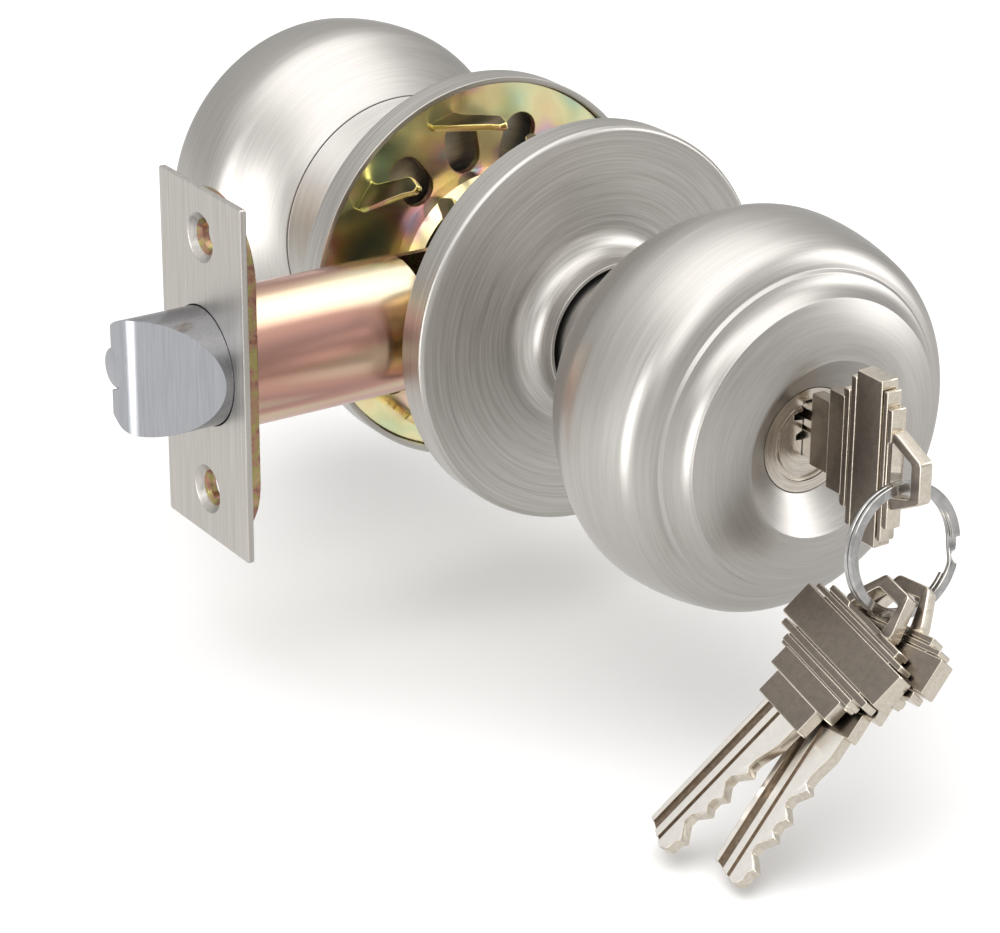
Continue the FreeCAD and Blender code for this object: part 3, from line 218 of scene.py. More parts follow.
def finishes(looks):
    """Every finish of the lock by name."""
    nickel = [list(looks.nickel_dark) + [1.0], list(looks.nickel_light) + [1.0]]
    made = {}
    # Satin nickel over zinc, spun against a fine belt: soft highlights with faint circles.
    made["spun"] = brushed("satin_nickel_spun",
                           lambda t: turned_lines(t, looks.brush_line * 1000, 2.6),
                           *nickel, 0.38, 0.03, 0.002, 0.4, "Y")
    # The rose faces are turned more coarsely, so their circles read at arm's length.
    made["rose"] = brushed("satin_nickel_turned", lambda t: turned_lines(t, 0.34, 1.8),
                           "#A9A6A1", "#CAC7C3", 0.40, 0.04, 0.004, 0.4, "Y")
    # Nickel plate drawn along its length under a belt: fine upright lines.
    made["drawn"] = brushed("brushed_nickel_sheet", lambda t: straight_lines(t, (2500, 2500, 60)),
                            "#B2AEA9", "#CCC8C3", 0.38, 0.05, 0.004)
    # Clear zinc plate on a machined bolt: a cool, fairly sharp mirror with faint tool lines.
    made["zinc"] = brushed("clear_zinc_plate", lambda t: straight_lines(t, (2200, 2200, 120)),
                           "#A1A3A8", "#AFB1B6", 0.22, 0.02, 0.0006)
    # Yellow chromate on steel: gold that swings to pink and green.
    gold = [(0.28, "#C4E4CC"), (0.38, "#E4ECBE"), (0.46, "#FAF3C0"), (0.53, "#FAE6B4"),
            (0.59, "#EAC4C4"), (0.65, "#C8C8D6"), (0.71, "#D8EAC8"), (0.80, "#FAEFBC")]
    made["chromate"] = chromate("yellow_chromate_steel", (11, 11, 11), gold, 0.27,
                                looks.sheet_wave * 1000)
    tube_tints = [(0.32, "#E6E2C8"), (0.42, "#E2D0B2"), (0.50, "#C99C8C"), (0.58, "#B98E84"),
                  (0.66, "#D2C0A4"), (0.78, "#DDE2C8")]
    made["tube"] = chromate("yellow_chromate_tube", (90, 12, 12), tube_tints, 0.24)
    # Sheared edges of the chromated sheet take the film thicker: copper and rose.
    # The same dark copper-brown is also painted shade on the hub frame's chromated cheeks.
    made["copper"] = mottled("chromate_edge_and_painted_shade", 3.0,
                             [(0.3, "#6E4A3E"), (0.45, "#A8806F"), (0.58, "#A09A62"),
                              (0.72, "#C09A86")],
                             0.30, 0.06, 1.0, 0.02)
    # Black-oxide steel: near black with a dull oily shine.
    made["black"] = mottled("black_oxide_steel", 2.5, [(0.3, "#1C1B1A"), (0.7, "#3A3836")],
                            0.42, 0.08, 0.85, 0.01)
    # Hard drawn spring wire: bright grey with drawing marks.
    made["spring"] = mottled("drawn_spring_wire", 1.2, [(0.3, "#77777A"), (0.7, "#A9A9AB")],
                             0.28, 0.06, 1.0, 0.005)
    # Machined brass of the cylinder: pale yellow, lightly tarnished.
    made["brass"] = mottled("machined_brass", 3.0, [(0.3, "#A88B4B"), (0.7, "#D1B577")],
                            0.28, 0.07, 1.0, 0.006)
    # Nickel plate on the brass plug: warm near-white.
    made["plug"] = brushed("nickel_plated_brass", lambda t: turned_lines(t, 0.3, 2.0),
                           "#B9AFA3", "#E3DCD2", 0.24, 0.05, 0.004)
    # Prongs sheared from the plate: their faces are painted dark olive, painted shade on the same
    # chromated sheet.
    made["prong"] = chromate("prong_face_painted_shade", (5, 5, 5),
                             [(0.3, "#3C3A2A"), (0.45, "#565138"), (0.58, "#6E6446"),
                              (0.7, "#836C5C")], 0.30)
    # Their edges are painted bright yellow, a painted highlight.
    made["prong_edge"] = chromate("prong_edge_painted_highlight", (4, 4, 4),
                                  [(0.3, "#E6DA8C"), (0.5, "#F2E29C"), (0.7, "#E4AC9C")], 0.22)
    # Tumbled nickel silver: brownish grey faces with fine scuffs.
    made["key"] = mottled("tumbled_nickel_silver", 1.1,
                          [(0.3, list(looks.key_dark) + [1.0]),
                           (0.7, list(looks.key_light) + [1.0])],
                          0.30, 0.03, 1.0, 0.0004)
    # The blade's lands are painted near white, a painted reflection on the same nickel silver as
    # the darker bow.
    made["key_land"] = mottled("nickel_silver_painted_reflection", 0.9, [(0.3, "#EEEAE4"), (0.7, "#F6F3EE")],
                               0.30, 0.03, 1.0, 0.0004)
    # Cut and stamped edges of a key show fresh metal: champagne.
    made["key_edge"] = mottled("cut_nickel_silver", 0.8, [(0.3, "#D6CDBF"), (0.7, "#E4DCCF")],
                               0.24, 0.03, 1.0, 0.0004)
    # Milled grooves of a key: darker, with lines along the cut.
    made["key_groove"] = mottled("milled_nickel_silver", 0.9, [(0.3, "#6E6053"), (0.7, "#8C7D6E")],
                                 0.34, 0.05, 1.0, 0.006)
    # Nickel plated spring steel of the ring: bright mirror.
    made["ring"] = mottled("bright_nickel_wire", 2.0, [(0.3, "#ABAAA9"), (0.7, "#C9C8C7")],
                           0.16, 0.03, 1.0, 0.001)
    # Moulded acetal bearing: off-white, waxy.
    made["acetal"] = mottled("moulded_acetal", 4.0, [(0.3, "#DAD8D0"), (0.7, "#E8E6DF")],
                             0.45, 0.05, 0.0, 0.01)
    return made


FINISH = {}


# ---------------------------------------------------------------- outlines in millimetres

def arc_centre(start, end, radius):
    """Centre of the short arc from start to end; a positive radius keeps it on the left."""
    middle = (start + end) / 2
    chord = end - start
    left = Vector((-chord.y, chord.x)).normalized()
    height = math.sqrt(max(radius * radius - chord.length_squared / 4, 0.0))
    return middle + left * math.copysign(height, radius)


def outline(points, step=6.0):
    """Turn points (across, up[, radius]) into vectors, with arcs in steps of some degrees."""
    spots = [Vector(p[:2]) for p in points]
    drawn = []
    for place, point in enumerate(points):
        start, end = spots[place], spots[(place + 1) % len(spots)]
        drawn.append(start)
        if len(point) == 2:
            continue
        centre = arc_centre(start, end, point[2])
        first, last = start - centre, end - centre
        turn = math.atan2(first.x * last.y - first.y * last.x, first.dot(last))
        count = max(2, int(abs(math.degrees(turn)) / step))
        for number in range(1, count):
            drawn.append(centre + Matrix.Rotation(turn * number / count, 2) @ first)
    return drawn


def eased(loop, radius, least=24.0, pieces=3):
    """Round every corner of a closed loop that turns by more than some degrees."""
    rounded = []
    total = len(loop)
    for place, spot in enumerate(loop):
        before, after = loop[place - 1] - spot, loop[(place + 1) % total] - spot
        if before.length < 1e-6 or after.length < 1e-6:
            continue
        turn = math.pi - before.angle(after)
        if math.degrees(turn) < least:
            rounded.append(spot)
            continue
        reach = min(radius * math.tan(turn / 2), before.length * 0.42, after.length * 0.42)
        start, end = spot + before.normalized() * reach, spot + after.normalized() * reach
        for number in range(pieces + 1):
            share = number / pieces
            rounded.append(start * (1 - share) ** 2 + spot * 2 * share * (1 - share)
                           + end * share ** 2)
    return rounded


def circle(across, up, radius, count=48, hole=False):
    """A circle as a loop; a hole runs the other way round."""
    way = -1 if hole else 1
    return [Vector((across + radius * math.cos(way * 2 * math.pi * n / count),
                    up + radius * math.sin(way * 2 * math.pi * n / count))) for n in range(count)]


def shrunk(loop, distance):
    """Move every edge of a loop to its left by a distance (material lies on the left)."""
    moved = []
    total = len(loop)
    for place, spot in enumerate(loop):
        first = (spot - loop[place - 1]).normalized()
        second = (loop[(place + 1) % total] - spot).normalized()
        normal = Vector((-first.y - second.y, first.x + second.x))
        if normal.length < 1e-9:
            moved.append(spot.copy())
            continue
        normal.normalize()
        cosine = max(0.35, normal.dot(Vector((-first.y, first.x))))
        moved.append(spot + normal * (distance / cosine))
    return moved


def anticlockwise(loop):
    """The loop run anticlockwise."""
    area = sum(a.x * b.y - b.x * a.y for a, b in zip(loop, loop[1:] + loop[:1]))
    return loop if area > 0 else loop[::-1]


def clockwise(loop):
    """The loop run clockwise, as a hole is."""
    return anticlockwise(loop)[::-1]


def clipped(loop, low, high):
    """The part of a loop between two heights."""
    for limit, sign in ((low, 1), (high, -1)):
        kept = []
        for place, spot in enumerate(loop):
            before = loop[place - 1]
            inside, was = (spot.y - limit) * sign >= 0, (before.y - limit) * sign >= 0
            if inside != was:
                share = (limit - before.y) / (spot.y - before.y)
                kept.append(before.lerp(spot, share))
            if inside:
                kept.append(spot)
        loop = kept
    return loop


# ---------------------------------------------------------------- meshes

PLANES = {
    "XY": lambda a, b, h: (a, b, h),
    "YZ": lambda a, b, h: (h, a, b),
    "XZ": lambda a, b, h: (a, -h, b),
}


def placed(name, data):
    """An object of the scene that holds a mesh, a light or a camera."""
    made = bpy.data.objects.new(name, data)
    bpy.context.scene.collection.objects.link(made)
    return made


def even_shading(piece):
    """Weigh the shading by the faces' areas, so that flats stay flat beside rounded edges."""
    weighted = piece.modifiers.new("even_shading", "WEIGHTED_NORMAL")
    weighted.keep_sharp = True


class Maker:
    """Collects faces of one piece, in millimetres, with a finish for each face."""

    def __init__(self):
        self.mesh = bmesh.new()
        self.finishes = []

    def slot_of(self, finish):
        """The material number of a finish on this piece."""
        if finish not in self.finishes:
            self.finishes.append(finish)
        return self.finishes.index(finish)

    def face(self, corners, slot):
        """Add a face, leaving out corners that meet and faces that are there already."""
        corners = list(dict.fromkeys(corners))
        if len(corners) > 2:
            try:
                self.mesh.faces.new(corners).material_index = slot
            except ValueError:
                pass

    def band(self, below, above, slot):
        """Faces between two rings of vertices of the same count."""
        total = len(below)
        for place in range(total):
            following = (place + 1) % total
            self.face([below[place], below[following], above[following], above[place]], slot)

    def turned(self, loop, finish, count=192, axis="Y", about=(0, 0)):
        """Turn a closed loop about Y (points are radius, y) or about X (points are x, radius)."""
        slot = self.slot_of(finish)
        rings = []
        for spot in loop:
            radius, along = (spot.x, spot.y) if axis == "Y" else (spot.y, spot.x)
            if radius < 1e-4:
                place = (0, along, 0) if axis == "Y" else (along, about[0], about[1])
                rings.append([self.mesh.verts.new(place)] * count)
                continue
            ring = []
            for number in range(count):
                angle = 2 * math.pi * number / count
                one, two = radius * math.cos(angle), radius * math.sin(angle)
                place = ((one, along, two) if axis == "Y"
                         else (along, about[0] + one, about[1] + two))
                ring.append(self.mesh.verts.new(place))
            rings.append(ring)
        for place, ring in enumerate(rings):
            self.band(ring, rings[(place + 1) % len(rings)], slot)
        return self

    def slab(self, plane, levels, finish, wall=None, place=None):
        """A solid between levels (height, loops); material lies on the left of each loop."""
        slot = self.slot_of(finish)
        wall_slot = self.slot_of(wall or finish)
        to_space = PLANES[plane]
        rows = []
        for height, loops in levels:
            row = []
            for loop in loops:
                spots = [Vector(to_space(p.x, p.y, height)) for p in loop]
                row.append([self.mesh.verts.new(place @ s if place else s) for s in spots])
            rows.append(row)
        for below, above in zip(rows, rows[1:]):
            for low, high in zip(below, above):
                self.band(low, high, wall_slot)
        for row, level in ((rows[0], levels[0]), (rows[-1], levels[-1])):
            corners = [v for ring in row for v in ring]
            flat = [[Vector((p.x, p.y, 0)) for p in loop] for loop in level[1]]
            for triangle in tessellate_polygon(flat):
                self.face([corners[n] for n in triangle], slot)
        return self

    def plate(self, plane, low, high, loops, finish, edge=0.15, wall=None, place=None):
        """A slab with softly rounded edges."""
        steps = ((0.0, 1.0), (0.3, 0.3), (1.0, 0.0))
        levels = [(low + edge * rise, [shrunk(one, edge * inset) for one in loops])
                  for rise, inset in steps]
        levels += [(high - edge * rise, [shrunk(one, edge * inset) for one in loops])
                   for rise, inset in reversed(steps)]
        return self.slab(plane, levels, finish, wall, place)

    def swept(self, rings, finish):
        """A bar through rings of places, closed at its ends by faces."""
        slot = self.slot_of(finish)
        made = [[self.mesh.verts.new(spot) for spot in ring] for ring in rings]
        for below, above in zip(made, made[1:]):
            self.band(below, above, slot)
        self.face(made[0], slot)
        self.face(made[-1], slot)
        return self

    def finish(self, name, body, replaced, slot, smooth=32.0):
        """Turn the collected faces into an object that rides on a body."""
        bmesh.ops.recalc_face_normals(self.mesh, faces=self.mesh.faces[:])
        bmesh.ops.scale(self.mesh, vec=(MM, MM, MM), verts=self.mesh.verts[:])
        data = bpy.data.meshes.new(name)
        self.mesh.to_mesh(data)
        self.mesh.free()
        for finish in self.finishes:
            data.materials.append(FINISH[finish])
        data.shade_smooth()
        data.set_sharp_from_angle(angle=math.radians(smooth))
        piece = placed(name, data)
        even_shading(piece)
        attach(piece, body)
        for one in replaced:
            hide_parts(one)
        return piece


def mirrored(side, points):
    """Outline of (radius, height above the middle of the door) on one side of the door."""
    return [(p[0], p[1] * side) + tuple(r * side for r in p[2:]) for p in points]


SIDES = (("outer", -1), ("inner", 1))


# ---------------------------------------------------------------- latch

SCREW_RISE, BOLT_HOLE = 20.65, 9.5


def pierced(rim, steps):
    """Levels of a latch plate, whose rim is pierced for the bolt and two screws.

    Each step is x, how far the rim is drawn in, how much the bolt's hole widens, and the radius
    of the screw holes.
    """
    return [(x, [shrunk(rim, inset), circle(0, 0, BOLT_HOLE + wider, 96, hole=True)]
             + [circle(0, SCREW_RISE * sign, sink, hole=True) for sign in (1, -1)])
            for x, inset, wider, sink in steps]


def latch_plates(_looks):
    """Faceplate with countersunk screw holes, and the chromated plate behind it."""
    half, end = 12.7, 28.575
    rim = eased(outline([(-half, -end), (half, -end), (half, end), (-half, end)]), 0.5)
    levels = pierced(rim, ((-60.0, 0.12, 0.12, 3.95), (-59.95, 0.04, 0.04, 3.88),
                           (-59.87, 0.0, 0.0, 3.78), (-59.1, 0.0, 0.0, 3.0),
                           (-59.0, 0.08, 0.08, 2.92)))
    Maker().slab("YZ", levels, "drawn").finish("face_plate", "latch_case", ["latch_faceplate"],
                                               "brushed_nickel")
    half, end = 12.1, 15.8
    rim = outline([(half, -end), (half, end, half), (0, end + half, half), (-half, end),
                   (-half, -end, half), (0, -end - half, half)])
    levels = pierced(rim, ((-59.0, 0.15, 0.0, 2.9), (-58.85, 0.0, 0.0, 2.75),
                           (-58.35, 0.0, 0.0, 2.25), (-57.35, 0.0, 0.0, 2.25),
                           (-57.2, 0.15, 0.0, 2.35)))
    Maker().slab("YZ", levels, "chromate", wall="copper").finish(
        "back_plate", "latch_case", ["latch_back_plate"], "yellow_dichromate")


def latch_tube(_looks):
    """Barrel of the latch, a thin chromated tube."""
    loop = outline([(-57.2, 9.8), (-25.0, 9.8), (-25.0, 10.8), (-57.2, 10.8)])
    Maker().turned(eased(loop, 0.3), "tube", axis="X").finish(
        "latch_barrel", "latch_case", ["latch_tube"], "yellow_dichromate")


def softened(name, node, body, finish, width_mm):
    """The frame's own solid with its sharp edges rounded over."""
    source = NODES[node]
    mesh = bmesh.new()
    mesh.from_mesh(source.data)
    bmesh.ops.remove_doubles(mesh, verts=mesh.verts[:], dist=0.002 * MM)
    bmesh.ops.dissolve_limit(mesh, angle_limit=math.radians(1.0), verts=mesh.verts[:],
                             edges=mesh.edges[:])
    for one in mesh.faces:
        one.material_index = 0
    data = bpy.data.meshes.new(name)
    mesh.to_mesh(data)
    mesh.free()
    data.materials.clear()
    data.materials.append(FINISH[finish])
    data.shade_smooth()
    piece = placed(name, data)
    even_shading(piece)
    round_edges(piece, width_mm)
    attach(piece, body)
    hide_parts(node)


def bolt_mesh():
    """Round bar with a flat for the plunger, its groove, a bevel and a rounded nose."""
    radius, flat, nose, rear = 9.4, 6.0, -72.7, -46.0
    slope, corner, nose_radius = 1.046, 1.5, 6.0
    lean = math.atan(slope)
    reach = nose_radius * math.tan(lean / 2)
    arc_end = corner - reach * math.cos(lean)
    groove_at, groove = 6.2, 3.3
    groove_start = groove_at - groove

    def front(y):
        if y >= corner + reach:
            return nose
        if y <= arc_end:
            return nose + (corner - y) * slope
        return nose + nose_radius - math.sqrt(nose_radius ** 2 - (corner + reach - y) ** 2)

    count = 40
    low, high = -math.pi / 2, math.asin(flat / radius)
    stations = [radius * math.sin(low + (high - low) * n / count) for n in range(count + 1)]
    stations = sorted([y for y in stations if abs(y - groove_start) > 0.12] + [groove_start])
    made = Maker()
    slot = made.slot_of("zinc")

    def pair(y, z):
        return [made.mesh.verts.new((x, y, z)) for x in (front(y), rear)]

    top, bottom, above, below = [], [], [], []
    for y in stations:
        z = math.sqrt(max(radius * radius - y * y, 0.0))
        top.append(pair(y, z))
        bottom.append(top[-1] if z < 1e-3 else pair(y, -z))
        deep = groove * groove - (y - groove_at) ** 2
        if y >= groove_start:
            above.append(pair(y, math.sqrt(max(deep, 0.0))))
            below.append(above[-1] if deep < 1e-6 else pair(y, -math.sqrt(deep)))
    first = stations.index(groove_start)
    for end in (0, 1):
        for n in range(first - 1):
            made.face([top[n][end], top[n + 1][end], bottom[n + 1][end], bottom[n][end]], slot)
        made.face([top[first - 1][end], top[first][end], above[0][end], bottom[first][end],
                   bottom[first - 1][end]], slot)
        for n in range(first, len(stations) - 1):
            m = n - first
            made.face([top[n][end], top[n + 1][end], above[m + 1][end], above[m][end]], slot)
            made.face([bottom[n][end], bottom[n + 1][end], below[m + 1][end], below[m][end]], slot)
    for row in (top, bottom, above, below):
        for one, two in zip(row, row[1:]):
            made.face([one[0], two[0], two[1], one[1]], slot)
    for one, two in ((top[-1], above[-1]), (bottom[-1], below[-1])):
        made.face([one[0], two[0], two[1], one[1]], slot)
    return made


def round_edges(piece, width_mm):
    """Round the sharp edges of a piece before its shading is evened."""
    edge = piece.modifiers.new("rounded_edges", "BEVEL")
    edge.width = width_mm * MM
    edge.segments = 3
    edge.limit_method = "ANGLE"
    edge.angle_limit = math.radians(28)
    edge.miter_outer = "MITER_ARC"
    piece.modifiers.move(len(piece.modifiers) - 1, 0)


def bolt_and_plunger(looks):
    """Bevelled bolt head and the round deadlatch plunger in its groove."""
    piece = bolt_mesh().finish("bolt_head", "bolt", ["latch_bolt"], "bright_zinc")
    round_edges(piece, looks.bolt_edge * 1000)
    tip, end, radius = -72.2, -62.2, 3.2
    rounded = eased(outline([(tip, 0), (end, 0), (end, radius), (tip, radius)]), 0.4)
    loop = [Vector((tip, 0)), Vector((end, 0))] + [spot for spot in rounded if spot.y > 0.5]
    Maker().turned(loop, "zinc", 64, "X", (6.2, 0)).finish(
        "deadlatch_pin", "plunger", ["deadlatch_plunger"], "bright_zinc")


# ---------------------------------------------------------------- roses, plates, knobs

def roses(_looks):
    """Round roses with a flared collar around the knob's shank."""
    points = [(31.4, 12.85), (32.4, 12.85), (32.4, 17.3, 0.9), (31.5, 18.2), (17.4, 18.7, -4.2),
              (12.4, 22.5), (12.4, 24.3), (11.7, 24.3), (11.7, 22.2, 4.9), (17.3, 17.7),
              (31.4, 17.2)]
    for name, side in SIDES:
        loop = eased(outline(mirrored(side, points), 4), 0.25)
        Maker().turned(loop, "rose", 224).finish(f"{name}_rose_cover", f"{name}_side",
                                                 [f"{name}_rose"], "satin_nickel")


def slot_loop(angle):
    """One radial slot with round ends, as a hole."""
    half, inner, outer = 2.9, 20.0, 23.4
    out = Vector((math.cos(angle), math.sin(angle)))
    loop = []
    for centre, start in ((outer, -90), (inner, 90)):
        for number in range(13):
            turn = angle + math.radians(start + number * 15)
            loop.append(out * centre + Vector((math.cos(turn), math.sin(turn))) * half)
    return clockwise(loop)


def mount_plates(_looks):
    """Slotted round plates whose prongs bite into the door."""
    leaf = [(-2.6, 14.7), (-2.6, 13.7), (3.0, 5.6), (4.1, 3.4), (5.3, 3.2), (6.2, 6.2), (2.6, 13.1),
            (2.6, 14.7)]
    plate_radius, bore, post_at, post_hole = 31.35, 11.3, 21, 2.2
    first, step = 43.5, 28.33
    for name, side in SIDES:
        loops = [circle(0, 0, plate_radius, 160), circle(0, 0, bore, 96, hole=True)]
        for number in range(8):
            angle = math.radians(first + step * (number % 4) + 180 * (number // 4))
            if side < 0 and number % 4 == 0:
                loops.append(circle(post_at * math.cos(angle), post_at * math.sin(angle), post_hole,
                                    hole=True))
            else:
                loops.append(slot_loop(angle))
        low, high = (14.5, 15.7) if side < 0 else (-15.7, -14.5)
        made = Maker().plate("XZ", low, high, loops, "chromate", 0.2, "copper")
        for degrees in (106, 144, 237, 304):
            theta = math.radians(degrees)
            place = Matrix(((math.sin(theta), 0, math.cos(theta)), (0, 1, 0),
                            (-math.cos(theta), 0, math.sin(theta))))
            shape = anticlockwise(eased(outline(mirrored(side, leaf)), 2.2, 12))
            # The prongs' faces carry painted shade and their edges a painted highlight.
            made.plate("XY", 26.6, 27.8, [shape], "prong", 0.22, "prong_edge", place)
        made.finish(f"{name}_clamp_plate", f"{name}_side", [f"{name}_mount_plate"],
                    "yellow_dichromate")


def knobs(_looks):
    """Ball knobs: a rear cap with its shank, and a shell with a stepped front and a well."""
    back = [(9, 12.6), (11, 12.6), (11, 13.2), (10.2, 13.2), (10.2, 14.3), (11, 14.3),
            (11, 30.2, -2.2), (13.2, 31.9), (22.3, 40), (21.34, 40.9), (12.4, 32.8), (9, 31.2)]
    shell = [(22.3, 40, 36), (28.7, 50, 12.1), (30.6, 56.5, 38), (29.4, 66, 5.6), (25.9, 70.35),
             (25.35, 70.5), (24.9, 71.1, -4.6), (22.2, 74.5, 32), (14.2, 77.1), (13.6, 77.1),
             (8.15, 72.8), (8.15, 69.4), (9.1, 69.4), (9.1, 72.0), (13.8, 75.5), (21.3, 73.3),
             (24.0, 69.5), (25.1, 68.2), (28.4, 65.6, -36), (29.4, 56.5, -11), (27.5, 50.5, -35),
             (21.34, 40.9)]
    for name, side in SIDES:
        loop = eased(outline(mirrored(side, back), 4), 0.25)
        Maker().turned(loop, "spun", 192).finish(f"{name}_knob_cap", f"{name}_handle",
                                                 [f"{name}_knob_back"], "satin_nickel")
        loop = eased(outline(mirrored(side, shell), 2.5), 0.3)
        Maker().turned(loop, "spun", 256).finish(f"{name}_knob_ball", f"{name}_handle",
                                                 [f"{name}_knob_shell"], "satin_nickel")


# ---------------------------------------------------------------- cylinder, button

PLUG_RADIUS, KEYWAY_HALF = 6.35, 1.1


def open_round(radius):
    """Spots round the plug's axis, from one side of the keyway to the other."""
    lean = math.asin(KEYWAY_HALF / radius)
    start, sweep, count = math.pi / 2 + lean, 2 * math.pi - 2 * lean, 72
    turns = [start + sweep * number / count for number in range(count + 1)]
    return [Vector((radius * math.cos(turn), radius * math.sin(turn))) for turn in turns]


def notched(radius):
    """Round of the plug with the keyway cut in from the top, as one loop."""
    wards = [(1.1, -2.15), (-1.1, -2.15), (-1.1, 0.3), (-2.2, 0.4), (-2.2, 1.2), (-1.1, 1.7),
             (-1.1, 3.4), (-2.7, 3.6), (-2.7, 4.5), (-1.1, 4.7)]
    return open_round(radius) + [Vector(spot) for spot in wards]


def open_ring(inner, outer):
    """Ring open at the top for the keyway, as one loop."""
    return open_round(outer) + open_round(inner)[::-1]


def cylinder_face(_looks):
    """Key cylinder: its body ring, and the plug with its keyway and the fine ring on its face."""
    softened("cylinder_housing", "cylinder_body", "outer_handle", "plug", 0.12)
    made = Maker()
    made.plate("XZ", 72.2, 72.6, [notched(5.4)], "plug", 0.08)
    made.plate("XZ", 72.2, 72.6, [open_ring(5.8, PLUG_RADIUS)], "plug", 0.08)
    made.plate("XZ", 48.2, 72.25, [notched(PLUG_RADIUS)], "plug", 0.05)
    made.plate("XZ", 44.6, 48.2, [circle(0, 0, 5.6)], "plug", 0.1)
    made.finish("key_plug", "plug", ["cylinder_plug"], "nickel_brass")


def button(looks):
    """Turn button of the room side."""
    softened("thumb_button", "turn_button", "button", "spun",
             looks.button_edge * 1000)


# ---------------------------------------------------------------- keys and ring

KEY_NECK = -74.4


def blade_loop():
    """Side outline of a key blade with its cuts, as (y, z) with the tip towards +Y."""
    bottom, top, tip, flat, pitch = -2.05, 6.15, -49.0, 0.6, 4.0
    depths = (1.2, 2.4, 1.8, 2.9, 1.5)
    loop = [(KEY_NECK - 1, top), (KEY_NECK - 1, bottom), (KEY_NECK + 3.2, bottom)]
    slope = 2.0 - flat
    for number, depth in enumerate(depths):
        y = -66.8 + pitch * number
        if number:
            before = depths[number - 1]
            ridge = (before + depth - slope * 2) / 2
            loop.append((y - pitch + flat + before - ridge, bottom + ridge))
        loop += [(y - flat, bottom + depth), (y + flat, bottom + depth)]
    loop += [(tip - 0.6, bottom + 1.9), (tip, bottom + 2.9), (tip - 1.9, top)]
    return anticlockwise([Vector(spot) for spot in loop])


def key_shape(name, node, body, place):
    """One key: grooved and cut blade, shoulders, raised ribs across the bow, five-sided loop."""
    made = Maker()
    neck, middle, eye = KEY_NECK, 2.6, 17.6
    blade = eased(blade_loop(), 0.25, 12, 2)
    made.plate("YZ", -0.62, 1.0, [blade], "key_groove", 0.1, "key_edge", place)
    # The raised lands take the near-white finish, a painted reflection.
    for low, high in ((5.25, 9.0), (2.55, 3.85), (-9.0, 1.95)):
        land = clipped(blade_loop(), low, high)
        made.plate("YZ", -1.0, -0.6, [anticlockwise(eased(land, 0.2, 12, 2))], "key_land", 0.09,
                   "key_edge", place)
    # Bars across the bow: far side and near side from the neck, half length, half thickness.
    bars = ((4.1, 0.0, 5.6, 1.06), (7.4, 4.0, 7.7, 1.1), (8.7, 7.5, 9.1, 1.28),
            (10.1, 8.9, 11.5, 1.28), (15.9, 10.3, 12.8, 1.45), (17.0, 16.1, 11.5, 1.28),
            (18.2, 17.2, 9.2, 1.28), (18.15, 7.0, 9.0, 1.03))
    for outer, inner, half, thick in bars:
        corners = [(neck - outer, middle - half), (neck - inner, middle - half),
                   (neck - inner, middle + half), (neck - outer, middle + half)]
        if outer > eye:
            corners += [(neck - outer, middle + 4.3), (neck - eye, middle + 4.0),
                        (neck - eye, middle - 3.7), (neck - outer, middle - 3.9)]
        loop = eased(outline(corners), 0.3)
        made.plate("YZ", -thick, thick, [anticlockwise(loop)], "key", 0.16, "key_edge", place)
    loop = [(neck - 18.0, middle - 6.4), (neck - 18.0, middle + 6.4), (neck - 24.6, middle + 3.2),
            (neck - 24.6, middle - 3.0)]
    hole = [(neck - eye, middle - 3.7), (neck - eye, middle + 4.0), (neck - 18.4, middle + 4.3),
            (neck - 22.5, middle + 2.5), (neck - 22.5, middle - 2.7), (neck - 18.4, middle - 3.9)]
    loops = [anticlockwise(eased(outline(loop), 0.9)), clockwise(eased(outline(hole), 0.6))]
    made.plate("YZ", -1.1, 1.1, loops, "key", 0.2, "key_edge", place)
    made.finish(name, body, [node], "nickel_silver", 28)


def hung(blade, hole_at):
    """Where a spare key hangs: which way its blade points, and the place of its hole."""
    normal = Vector((0.71, 0.0, -0.70)).normalized()
    blade = Vector(blade)
    blade = (blade - normal * blade.dot(normal)).normalized()
    spine = normal.cross(blade)
    turned = Matrix((normal, blade, spine)).transposed()
    hole = Vector((0, -94.6, 2.4))
    return Matrix.Translation(Vector(hole_at) - turned @ hole) @ turned.to_4x4()


def keys(_looks):
    """The key in the cylinder and the two spares on the ring."""
    key_shape("key_in_lock", "key", "lock_key", Matrix.Identity(4))
    key_shape("spare_front", "spare_key_front", "front_spare", hung((-0.690, 0.190, -0.695),
                                                                   (-5.6, -97.6, -16.1)))
    key_shape("spare_back", "spare_key_back", "back_spare", hung((-0.698, -0.073, -0.708),
                                                                (-1.8, -97.83, -16.78)))


def split_ring(_looks):
    """Split ring: two turns of flat wire side by side, with a step from one to the other."""
    mean, half_wide, half_thick, shift = 9.22, 0.76, 0.41, 0.46
    section = eased(outline([(-half_wide, -half_thick), (half_wide, -half_thick),
                             (half_wide, half_thick), (-half_wide, half_thick)]), 0.3)
    centre, lean = Vector((-1.2, -96.3, -8.1)), math.radians(-9.6)
    place = Matrix.Translation(centre) @ Matrix.Rotation(lean, 4, "X")
    rings = []
    first, last, step_start, step_end = 20, 706, 352, 374
    crossing = math.radians(-20)
    for degrees in range(first, last + 1, 3):
        share = min(1.0, max(0.0, (degrees - step_start) / (step_end - step_start)))
        share = share * share * (3 - 2 * share)
        along = shift * (2 * share - 1)
        angle = crossing + math.radians(degrees)
        out = Vector((math.cos(angle), 0, math.sin(angle)))
        rings.append([place @ (out * (mean + p.x) + Vector((0, along + p.y, 0))) for p in section])
    Maker().swept(rings, "ring").finish("split_ring", "ring", ["key_ring"], "ring_steel")


# ---------------------------------------------------------------- what stays as the frame has it

